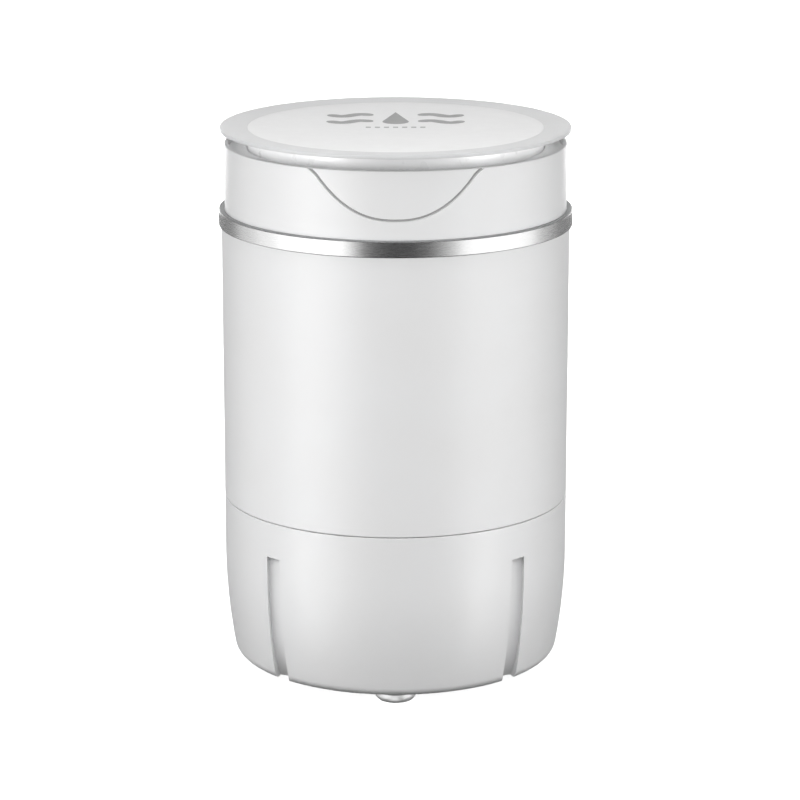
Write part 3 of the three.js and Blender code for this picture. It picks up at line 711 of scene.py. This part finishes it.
def panel_outline(grow):
    """The rear panel's outline, grown on all sides."""
    reach = rear.r + grow
    return rounded_rectangle(-reach, reach, rear.low - grow, rear.high + grow, PANEL_CORNER + grow)


def base_shell():
    inner_r = SPIGOT_R - WALL
    taper_steps = 12
    taper = [LEDGE_TOP + (TAPER_Z - LEDGE_TOP) * i / taper_steps for i in range(taper_steps, -1, -1)]
    spigot = [(SPIGOT_R, seam_z), (SPIGOT_R, base.high - 0.6), (SPIGOT_R - 0.6, base.high)]
    shoulder = [(inner_r, base.high), (inner_r, seam_z - 3.1), (base.r - WALL, seam_z - 9.6)]
    inside = [(base_radius(z) - WALL, z) for z in taper]
    ledge = [(LEDGE_R, LEDGE_TOP), (LEDGE_R, LEDGE_Z), (COVER_SEAT_R, LEDGE_Z), (COVER_SEAT_R, base.low)]
    outline = [*base_outside(), *spigot, *shoulder, *inside, *ledge]
    shell = lathe("base_shell_moulding", outline, sides=256)
    heights = [GROOVE_TOP - GROOVE_ROW * i for i in range(14)]
    ribs = [GROOVE_TOP + GROOVE_SKIN, *heights[1:11], LEDGE_TOP - 1]
    combine(shell, along_groove("ribs", rib_section, ribs), "UNION")
    combine(shell, along_groove("grooves", groove_section, heights), "DIFFERENCE")
    window = prism("window", panel_outline(GAP), INSIDE_BASE, base.r + BEYOND, rearward=True)
    combine(shell, window, "DIFFERENCE")
    present(shell, "base_shell")


# ---------- body casing, trim ring and collar ----------
def body_and_ring():
    seat = ring.r - 3.6
    inner = SPIGOT_R + GAP
    wall = [
        (inner, body.low), (body.r, body.low, 0.5), (body.r, ring.low - GAP, 0.3),
        (seat, ring.low - GAP), (seat, body.high), (inner, body.high),
    ]
    present(lathe("body_shell_moulding", wall), "body_shell")
    band_r, edge_r, shelf = seat + GAP, ring.r - 0.8, ring.high - 0.5
    band = [
        (band_r, ring.low), (ring.r, ring.low, 0.9), (ring.r, ring.high, 0.7),
        (edge_r, ring.high, 0.1), (edge_r, shelf), (band_r, shelf),
    ]
    present(lathe("trim_ring_band", band, sides=256), "trim_ring")
    # A dark grey strip in the channel between the collar and the ring's band: painted shade, put where the
    # gap's shadow falls.
    low, high = ring.high - 0.25, ring.high + 0.25
    strip_r = ring.r - 1.1
    strip = [(collar.r + GAP, low), (strip_r, low), (strip_r, high, 0.2), (collar.r + GAP, high)]
    present(lathe("trim_ring_shade_strip", strip), rides="root", finish="panel_grey")


def soft_min(a, b, width):
    """The smaller of two values, with the change from one to the other rounded over width."""
    overlap = max(width - abs(a - b), 0) / width
    return min(a, b) - overlap * overlap * width / 4


def bell_height(s):
    """The bell line's height. It levels out at its shoulders, then runs out through the collar's top edge."""
    rise = soft_min((abs(s) / BELL_HALF_WIDTH) ** BELL_POWER, 1.0, 0.15)
    run_out = 0.25 * max(0.0, abs(s) - BELL_HALF_WIDTH)
    return BELL_Z + (collar.high - BELL_SHOULDER - BELL_Z) * rise + run_out


def bell_stretch(s):
    """How much taller than wide the line is where it runs uphill."""
    slope = bell_height(abs(s) + 0.5) - bell_height(max(abs(s) - 0.5, 0))
    return math.sqrt(1 + slope * slope)


def bell_depth(height):
    """How far the collar's front is set back at this height of BELL_LINE: a groove, then the recess."""
    if height <= BELL_LINE[0][0]:
        return 0.0
    for (low, depth), (high, next_depth) in zip(BELL_LINE, BELL_LINE[1:]):
        if height <= high:
            return depth + (next_depth - depth) * (height - low) / (high - low)
    return BELL_DEPTH


def collar_outline(angle):
    """The collar's section. At the front its outer wall steps in above the bell line."""
    s = math.remainder(angle, 2 * math.pi) * collar.r
    line = bell_height(s)
    half = BELL_LINE_HALF * bell_stretch(s)
    edge = 1.0
    top = collar.high - edge
    heights = [ring.high + (line - half - ring.high) * i / 6 for i in range(6)]
    heights += [line + half * height for height, _ in BELL_LINE]
    heights += [line + half + (top - line - half) * i / 5 for i in range(1, 6)]
    heights = [min(z, top) for z in heights]
    wall = [(collar.r - bell_depth((z - line) / half), z) for z in heights]
    rim_r = wall[-1][0]
    rim = arc(rim_r - edge, top, edge, 15, 90, 5)
    inner_r = collar.r - WALL
    ledge = tub_flange_z() - 2.6
    inside = [
        (inner_r + 0.35, collar.high), (inner_r + 0.1, collar.high - 0.1), (inner_r, collar.high - 0.4),
        (inner_r, ledge), (109.5, ledge), (109.5, ledge - 4.5), (SPIGOT_R - WALL, ledge - 8),
        (SPIGOT_R - WALL, collar.low), (SPIGOT_R, collar.low), (SPIGOT_R, ring.high),
    ]
    return wall + rim + inside


def tub_flange_z():
    return measure("tub_gasket").high + GAP


def bell_line():
    """A dark grey strip sunk in the groove round the recess: painted shade, standing for the shadow along the
    groove.
    """
    rows = 220
    reach = BELL_HALF_WIDTH + 12
    front, back = BELL_DEPTH + 0.2, BELL_DEPTH + 1.0
    sections = []
    for i in range(rows + 1):
        s = -reach + 2 * reach * i / rows
        line = min(bell_height(s), collar.high - 1.6)
        half = 0.62 * BELL_LINE_HALF * bell_stretch(s)
        corners = ((front, -half), (front, half), (back, half), (back, -half))
        sections.append([polar(collar.r - deep, s / collar.r, line + rise) for deep, rise in corners])
    present(loft("collar_bell_shade_strip", sections), rides="root", finish="bell_shade_grey")


def collar_piece():
    half = (BELL_HALF_WIDTH + 16) / collar.r
    front = [half * i / 110 for i in range(-110, 111)]
    rest_steps = 130
    rest = [half + (2 * math.pi - 2 * half) * i / rest_steps for i in range(1, rest_steps)]
    present(skin("collar_moulding", front + rest, collar_outline), "collar")


# ---------- bottom cover, feet and screws ----------
def sector(inner, outer, half_angle, steps=12):
    """A pad's outline: a stretch of a ring about the front, with its ends square."""
    start, end = -90 - half_angle, -90 + half_angle
    return arc(0, 0, outer, start, end, steps) + arc(0, 0, inner, end, start, steps)


def plug_outline(radius, low, high):
    """A plain round plug's outline, for a hole or a post."""
    return [(0, low), (radius, low), (radius, high), (0, high)]


def bottom_cover():
    pads = []
    for degrees in FOOT_SIDES.values():
        pad = softened(prism("pad", sector(**PAD), cover.low, base.low + 1), 0.9)
        pads.append(turned(pad, degrees))
    plate_outline = [(0, base.low), (cover.r, base.low, 0.6), (cover.r, cover.high, 0.4), (0, cover.high)]
    disc = lathe("bottom_cover_plate", plate_outline)
    combine(disc, gathered("pads", pads), "UNION")
    holes = []
    high = cover.high + BEYOND
    for degrees in FOOT_SIDES.values():
        stem = plug_outline(4.3, 0, high)
        holes.append(lathe("stem_hole", stem, at=on_circle(FOOT_CIRCLE, degrees), sides=48))
    for degrees in SCREW_ANGLES:
        at = on_circle(COVER_SCREW_CIRCLE, degrees)
        holes.append(lathe("screw_hole", plug_outline(SCREW_HOLE_R, 0, high), at=at, sides=32))
        for radius in VENT_CIRCLES:
            slot = prism("vent", rounded_rectangle(-13, 13, -2, 2, 1.95), cover.low, high)
            holes.append(turned(placed(slot, 0, -radius), degrees))
    combine(disc, gathered("holes", holes), "DIFFERENCE")
    present(softened(disc, 0.25, 2, 60), "bottom_cover")


def feet():
    for node in FOOT_SIDES:
        foot = measure(node)
        neck = cover.low - GAP
        outline = [
            (0, 0.5), (8, 0.5, 0.3), (9, 0, 0.5), (foot.r - 2.2, 0, 0.6), (foot.r, 2.4, 1.6),
            (foot.r, neck, 0.7), (4, neck), (4, foot.high, 0.5), (0, foot.high),
        ]
        present(lathe(f"{node}_turned", outline, at=(foot.x, foot.y), sides=128), node)


def thread(radius, low, high, pitch=0.8, depth=0.35):
    """The zigzag side of a threaded shank, from low to high."""
    turns = int((high - low) / pitch)
    points = []
    for i in range(turns):
        z = low + pitch * i
        points += [(radius - depth, z), (radius, z + pitch / 2)]
    return points + [(radius - depth, high)]


def screw(node, head_r, head_height, shank_r, head_down=False):
    """A domed screw with a cross recess. It is made head up and turned over where its head is below."""
    at = measure(node)
    length = at.high - at.low - head_height
    shank = thread(shank_r, -length + 1.2, 0)
    brim = 0.35 * head_height
    dome = [
        (head_r, 0), (head_r, brim, 0.3 * head_height),
        (0.72 * head_r, head_height, 0.5 * head_height), (0, head_height),
    ]
    made = lathe(f"{node}_cross_head", [(0, -length), *shank, *dome], sides=48)
    arm, reach = 0.14 * head_r, 0.52 * head_r
    for a, b in ((arm, reach), (reach, arm)):
        bar = prism("bar", rounded_rectangle(-a, a, -b, b, 0.5 * arm, 3), brim, head_height + 1)
        combine(made, bar, "DIFFERENCE")
    if head_down:
        moved(made, Matrix.Rotation(math.pi, 4, "X"))
    placed(made, at.x, at.y, at.low + head_height if head_down else at.high - head_height)
    present(made, node)


def screws():
    for node in sorted(frame["nodes"]):
        if node.startswith(("tub_screw", "motor_screw")):
            screw(node, 4, 2.2, 1.9)
        elif node.startswith(("cover_screw", "housing_screw", "bracket_screw")):
            screw(node, 4, 2.2, 1.9, head_down=True)
    screw("pulsator_screw", 6, 3, 2)


# ---------- wash tub ----------
TUB_INSIDE_R = 103.5
TUB_NECK_R = 106.0
TUB_BEND_Z = 178.0  # its wall is straight above this
TUB_SHELF_Z = 166.0  # the shelf round the pulsator's well
TUB_WELL_R = 77.5
TUB_WELL_Z = 155.0
TUB_SHAFT_R = 12.3
TUB_SCREW_CIRCLE = 114
DRAIN_AT = (-30, 81)
MOTOR_POSTS = ((-38, -64), (38, -64))


def wash_tub():
    shelf, floor, bend = TUB_SHELF_Z, TUB_WELL_Z, TUB_BEND_Z
    low, high = tub_flange_z(), tub_flange_z() + WALL
    underside = [
        (TUB_SHAFT_R, floor - WALL), (TUB_WELL_R + 1, floor - WALL, 3), (TUB_WELL_R + WALL, shelf - WALL, 3),
        (TUB_INSIDE_R - 9, shelf - 1, 8), (TUB_NECK_R - 1.5, 173, 5), (TUB_NECK_R, bend, 3),
    ]
    flange = [(TUB_NECK_R, low, 0.5), (tub.r, low, 0.3), (tub.r, high, 0.5), (TUB_NECK_R, high, 1.5)]
    rim = [(TUB_NECK_R, tub.high, 0.9), (TUB_INSIDE_R, tub.high, 0.9)]
    inside = [
        (TUB_INSIDE_R, bend, 6), (TUB_INSIDE_R - 3, 171, 5), (TUB_INSIDE_R - 10, shelf + 2, 6),
        (TUB_WELL_R, shelf, 1.2), (TUB_WELL_R - 2, floor, 2), (TUB_SHAFT_R, floor, 0.5),
    ]
    shell = lathe("wash_tub_moulding", underside + flange + rim + inside)
    parts = [lathe("spigot", plug_outline(6.5, 136, shelf - 0.6), at=DRAIN_AT, sides=48)]
    post = [(0, 123.6), (6, 123.6, 0.6), (6, floor - 2), (0, floor - 2)]
    parts += [lathe("post", post, at=at, sides=48) for at in MOTOR_POSTS]
    for part in parts:
        combine(shell, part, "UNION")
    holes = [lathe("drain", plug_outline(4.5, 130, 180), at=DRAIN_AT, sides=48)]
    hole = plug_outline(SCREW_HOLE_R, low - 10, low + 6)
    holes += [lathe("hole", hole, at=on_circle(TUB_SCREW_CIRCLE, a), sides=24) for a in SCREW_ANGLES]
    combine(shell, gathered("tub_holes", holes), "DIFFERENCE")
    present(shell, "wash_tub")


def deck_ring():
    deck = measure("deck_ring")
    inner, under = TUB_NECK_R + GAP, deck.high - 2.5
    outline = [
        (inner, deck.low), (inner + 2, deck.low), (inner + 2, under, 0.5), (deck.r, under),
        (deck.r, deck.high, 0.6), (inner, deck.high, 0.4),
    ]
    present(lathe("deck_ring_moulding", outline), "deck_ring")


def tub_gasket():
    gasket = measure("tub_gasket")
    inner = 110
    outline = [
        (inner, gasket.low), (gasket.r, gasket.low, 0.4), (gasket.r, gasket.high, 0.4), (inner, gasket.high),
    ]
    present(lathe("tub_gasket_ring", outline), "tub_gasket")


# ---------- lid ----------
LID_FALL = 1.1  # how far the rim's top falls towards the lid's middle
LID_BEAD = 0.2  # the bead round the middle
DISH_DEPTH = 1.3  # how far the middle is sunk below its own edge
DISH_R = 103.5
DISH_STEPS = 24
LID_JOINT = 0.06  # the lid's middle is pressed into its rim
LID_SEAT = 0.5  # the middle rests this far above the plate's underside
BOSS_R = 91.5  # the middle's boss, which reaches down through the plate
SKIRT_R = 97.5  # the inside of the skirt under the lid
SEAL_R = 101.3  # the inside of the seal round the skirt


def dish(radius):
    """The height of the lid's hollow middle."""
    edge = plate.high - LID_FALL - LID_BEAD
    return edge - DISH_DEPTH * (1 - (radius / DISH_R) ** 2)


def lid():
    seat = plate.low + LID_SEAT
    top = plate.high - LID_FALL
    rim = [
        (BOSS_R + GAP, plate.low), (plate.r, plate.low, 0.6), (plate.r, plate.high, 0.9),
        (plate.r - 2.5, plate.high, 1.0), (panel.r + LID_JOINT, top, 0.15), (panel.r + LID_JOINT, seat),
        (BOSS_R + GAP, seat),
    ]
    present(lathe("lid_plate_rim", rim, sides=256), "lid_plate")
    radii = [DISH_R * i / DISH_STEPS for i in range(DISH_STEPS, -1, -1)]
    middle = [
        (0, panel.low), (BOSS_R, panel.low, 0.6), (BOSS_R, seat + 0.2), (panel.r, seat + 0.2),
        (panel.r, top, 0.15), (DISH_R + 1.0, top, 0.3), *((radius, dish(radius)) for radius in radii),
    ]
    present(lathe("lid_panel_disc", middle, sides=256), "lid_panel")
    skirt_top = plate.low - 2.8
    skirt = [
        (SKIRT_R, plug.low, 0.8), (plug.r, plug.low, 0.8), (plug.r, plug.high),
        (BOSS_R + 1.5, plug.high), (BOSS_R + 1.5, skirt_top), (SKIRT_R, skirt_top, 1.0),
    ]
    present(lathe("lid_plug_skirt", skirt), "lid_plug")
    edge_r, bevel = SEAL_R + 0.9, 1.6
    lip = [
        (SEAL_R, seal.low), (edge_r, seal.low, 0.4), (seal.r, seal.low + bevel, 0.5),
        (seal.r, seal.high - bevel, 0.5), (edge_r, seal.high, 0.4), (SEAL_R, seal.high),
    ]
    present(lathe("lid_seal_lip", lip), "lid_seal")


def ribbon(name, rows):
    """A printed stroke on the lid's dished middle, through rows of (x, y, half its width there)."""
    sections = []
    for i, (x, y, half) in enumerate(rows):
        before, after = rows[max(i - 1, 0)], rows[min(i + 1, len(rows) - 1)]
        along = (Vector(after[:2]) - Vector(before[:2])).normalized()
        side = Vector((-along.y, along.x)) * half
        left, right = Vector((x, y)) + side, Vector((x, y)) - side
        corners = ((left, -PRINT_SINK), (left, PRINT_RISE), (right, PRINT_RISE), (right, -PRINT_SINK))
        sections.append([(*place, dish(place.length) + rise) for place, rise in corners])
    return loft(name, sections)


def eased(count):
    """Shares from 0 to 1, closer together at both ends."""
    return [0.5 - 0.5 * math.cos(math.pi * i / count) for i in range(count + 1)]


MARK_Y = 40  # the printed mark is this far behind the lid's middle
WAVE_LENGTH = 30
WAVE_HEIGHT = 4.5
WAVE_START = 17
WAVE_RUN = 32
WAVE_HALF = 4.6  # half the stroke's width
WAVE_ROWS = (-13, 13)
DROP_TIP = MARK_Y + 26
DROP_R = 9.5
DROP_CENTRE = MARK_Y - 22 + DROP_R
DASH_Y = MARK_Y - 36
DASH_PITCH = 6.5
DASH_REACH = 1.8  # half a dash's length
DASH_HALF = 1.6  # half its width


def wave_row(side, y, share):
    along = WAVE_RUN * share
    from_end = min(along, WAVE_RUN - along)
    half = math.sqrt(max(WAVE_HALF ** 2 - max(WAVE_HALF - from_end, 0) ** 2, 1e-4))
    return side * (WAVE_START + along), y + WAVE_HEIGHT * math.sin(2 * math.pi * along / WAVE_LENGTH), half


def drop_row(share):
    """The drop runs straight from its tip until it meets its round foot."""
    y = DROP_TIP + (DROP_CENTRE - DROP_R - DROP_TIP) * share
    reach = DROP_TIP - DROP_CENTRE
    if y > DROP_CENTRE + DROP_R ** 2 / reach:
        half = (DROP_TIP - y) * math.tan(math.asin(DROP_R / reach))
    else:
        half = math.sqrt(max(DROP_R ** 2 - (y - DROP_CENTRE) ** 2, 0))
    return 0, y, max(half, 0.01)


def lid_mark():
    """A plain water drop between two pairs of waves over a row of dashes, where the lid carries its print."""
    strokes = [
        ribbon("wave", [wave_row(side, MARK_Y + row, share) for share in eased(48)])
        for side in (-1, 1)
        for row in WAVE_ROWS
    ]
    strokes.append(ribbon("drop", [drop_row(share) for share in eased(48)]))
    for i in range(-3, 4):
        ends = [(DASH_PITCH * i + end * DASH_REACH, DASH_Y, DASH_HALF) for end in (-1, 1)]
        strokes.append(ribbon("dash", ends))
    present(gathered("lid_water_mark", strokes), rides="lid", finish="print_ink")


# ---------- pulsator ----------
FINS = 5
FIN_HALF = 3  # half a fin's thickness


def pulsator():
    wheel = measure("pulsator")
    bore = [(2.3, 174), (5.3, 174)]  # the screw's hole over the shaft's
    underside = [(5.3, wheel.low), (14, wheel.low, 1), (16, 160), (70, 160, 2)]
    edge = [(wheel.r, 162.5, 1.5), (wheel.r, 165, 1)]
    top = [(50, 164, 20), (22, 167, 5), (15, 179, 4), (12, wheel.high, 2), (2.3, wheel.high)]
    disc = lathe("pulsator_moulding", bore + underside + edge + top, sides=160)
    for i in range(FINS):
        shape = [(10, 162), (wheel.r - 4, 163.2), (wheel.r - 5, 168.6), (40, 174.6), (10, 180)]
        fin = softened(prism("fin", shape, -FIN_HALF, FIN_HALF, rearward=True), 1.6, 4)
        combine(disc, turned(fin, 360 / FINS * i - 90), "UNION")
    present(disc, "pulsator")


# ---------- rear panel and its fittings ----------
def rear_panel():
    tray = prism("rear_panel_tray", panel_outline(0), PANEL_FACE - WALL, base.r + BEYOND, rearward=True)
    hollow = prism("hollow", panel_outline(-WALL), PANEL_FACE, base.r + 2 * BEYOND, rearward=True)
    combine(tray, softened(hollow, 1.0, 3), "DIFFERENCE")
    top = rear.high + 8
    outside = [(radius, z) for radius, z in base_outside() if z < rear.high + 6] + [(base.r, top)]
    combine(tray, lathe("outside", [(0, base.low), *outside, (0, top)], sides=240), "INTERSECT")
    fittings = ((KNOB_AT, 4), (OUTLET_AT, 6.8), (GLAND_AT, 7.3))
    front, back = PANEL_FACE - WALL - 15, PANEL_FACE + 4
    holes = [rear_lathe("hole", plug_outline(radius, front, back), at, 64) for at, radius in fittings]
    combine(tray, gathered("fitting_holes", holes), "DIFFERENCE")
    present(tray, "rear_panel")


def fluted(radius, depth, count):
    """A knurled edge: the radius at an angle."""
    return lambda angle: radius - depth * (0.5 + 0.5 * math.cos(count * angle)) ** 2


SHAFT_HOLE_R = 3.3


def timer_knob():
    knob = measure("timer_knob")
    face = knob.front
    edge = fluted(knob.r, 0.7, 30)

    def outline(angle):
        rim = edge(angle)
        return rounded([
            (0, 118), (SHAFT_HOLE_R, 118), (SHAFT_HOLE_R, face), (rim, face, 0.5), (rim, face + 3, 0.8),
            (knob.r - 4, face + 6, 2), (knob.r - 4.6, 120.5, 1), (0, 120.5),
        ])

    skirt = facing_rear(skin("timer_knob_grip", even(240), outline), KNOB_AT)
    centre = KNOB_AT[1]
    grip = rounded_rectangle(-3.5, 3.5, centre - 16.5, centre + 16.5, 3.4)
    bar = prism("bar", grip, face + 1.7, knob.back, rearward=True)
    combine(skirt, softened(bar, 0.9, 4), "UNION")
    present(skirt, "timer_knob")
    line = rounded_rectangle(-0.7, 0.7, centre + 4.5, centre + 15, 0.65, 4)
    pointer = prism("timer_pointer_line", line, knob.back - 0.3, knob.back, rearward=True)
    present(pointer, rides="timer_dial", finish="dark_ink")


def timer_shaft_and_body():
    shaft = measure("timer_shaft")
    outline = [(0, shaft.front), (3, shaft.front, 0.4), (3, shaft.back, 0.4), (0, shaft.back)]
    present(rear_lathe("timer_shaft_turned", outline, KNOB_AT, 64), "timer_shaft")
    box = measure("timer_body")
    sides = rounded_rectangle(-box.r, box.r, box.low, box.high, 2)
    case = softened(prism("timer_case", sides, box.front, box.back, rearward=True), 0.8)
    bore = rear_lathe("bore", plug_outline(SHAFT_HOLE_R, 94, 110), KNOB_AT, 48)
    present(combine(case, bore, "DIFFERENCE"), "timer_body")


def on_dial(radius, degrees):
    """A point on the timer's dial as (x, z), with degrees clockwise from the top as seen from behind."""
    angle = math.radians(degrees)
    return KNOB_AT[0] - radius * math.sin(angle), KNOB_AT[1] + radius * math.cos(angle)


TICK_R = 19
NUMERAL_R = 25.2
NUMERAL_SIZE = 4.2
MINUTE = 20  # degrees


def numeral(text, x, z):
    """A raised number on the rear panel, read from behind."""
    curve = bpy.data.curves.new("numeral", "FONT")
    curve.body = text
    curve.size = NUMERAL_SIZE * MM
    curve.align_x = "CENTER"
    curve.align_y = "CENTER"
    curve.extrude = PRINT_RISE / 2 * MM
    letters = in_scene("numeral", curve)
    graph = bpy.context.evaluated_depsgraph_get()
    data = bpy.data.meshes.new_from_object(letters.evaluated_get(graph))
    bpy.data.objects.remove(letters)
    facing_back = Matrix.Rotation(math.pi, 4, "Z") @ Matrix.Rotation(math.pi / 2, 4, "X")
    made = moved(in_scene("numeral", data), facing_back)
    return placed(made, x, PANEL_FACE + PRINT_RISE / 2, z)


def dial_scale():
    """Minute marks and plain numbers round the timer knob."""
    marks = []
    for minute in range(16):
        degrees = MINUTE * minute
        length, half = (3.2, 0.45) if minute % 3 == 0 else (2.0, 0.3)
        shape = rounded_rectangle(-half, half, TICK_R, TICK_R + length, 0.9 * half, 3)
        tick = prism("tick", shape, PANEL_FACE, PANEL_FACE + PRINT_RISE, rearward=True)
        moved(tick, Matrix.Rotation(math.radians(-degrees), 4, "Y"))
        marks.append(placed(tick, KNOB_AT[0], 0, KNOB_AT[1]))
        if minute % 3 == 0:
            x, z = on_dial(NUMERAL_R, degrees)
            marks.append(numeral(str(minute), x, z))
    present(gathered("timer_scale", marks), rides="root", finish="print_white")


PANEL_BACKED = PANEL_FACE - WALL - GAP  # where a fitting's inner flange meets the panel from inside
INNER_FLANGE = 3.2  # that flange's thickness


def cord_gland():
    gland = measure("cord_gland")
    front, face = PANEL_BACKED, PANEL_FACE + GAP
    bore_r, hole_r, inner_r = 3.6, 7, 8.6
    outline = [
        (bore_r, gland.front), (inner_r, gland.front, 0.4), (inner_r, front - INNER_FLANGE, 0.3),
        (hole_r, front), (hole_r, face), (gland.r, face, 0.4), (9, face + 2.7, 0.8),
        (4.6, face + 3.3, 0.6), (bore_r, face + 3.0, 0.4),
    ]
    present(rear_lathe("cord_gland_turned", outline, GLAND_AT), "cord_gland")


def drain_outlet():
    outlet = measure("drain_outlet")
    bore_r, tube_r, flange_r = 4.5, 6.5, 11
    step = PANEL_BACKED - INNER_FLANGE
    outline = [
        (bore_r, outlet.front), (tube_r, outlet.front), (tube_r, step), (flange_r, step, 0.4),
        (flange_r, PANEL_BACKED), (tube_r, PANEL_BACKED), (tube_r, outlet.back, 0.5),
        (bore_r, outlet.back, 0.5),
    ]
    present(rear_lathe("drain_outlet_turned", outline, OUTLET_AT), "drain_outlet")


def drain_cap():
    cap = measure("drain_cap")
    bottom = measure("drain_outlet").back + GAP
    edge = fluted(cap.r, 0.5, 24)

    def outline(angle):
        rim = edge(angle)
        return rounded([
            (0, bottom), (6.8, bottom), (6.8, cap.front), (rim, cap.front, 0.3),
            (rim, cap.back - 1.6, 0.5), (cap.r - 1.2, cap.back, 0.8), (5, cap.back, 0.5),
            (4.4, cap.back - 0.5, 0.4), (0, cap.back - 0.5),
        ])

    present(facing_rear(skin("drain_cap_knurled", even(240), outline), OUTLET_AT), "drain_cap")


# ---------- the order of making ----------
add_camera()
base_shell()
body_and_ring()
collar_piece()
bell_line()
bottom_cover()
feet()
screws()
wash_tub()
deck_ring()
tub_gasket()
lid()
lid_mark()
pulsator()
rear_panel()
timer_knob()
timer_shaft_and_body()
dial_scale()
cord_gland()
drain_outlet()
drain_cap()
add_world()
add_lights()
add_floor()
bpy.context.scene.view_settings.view_transform = "Standard"

for name, node in frame["nodes"].items():
    node.data.materials.clear()
    node.data.materials.append(finishes[slot_of[name]])
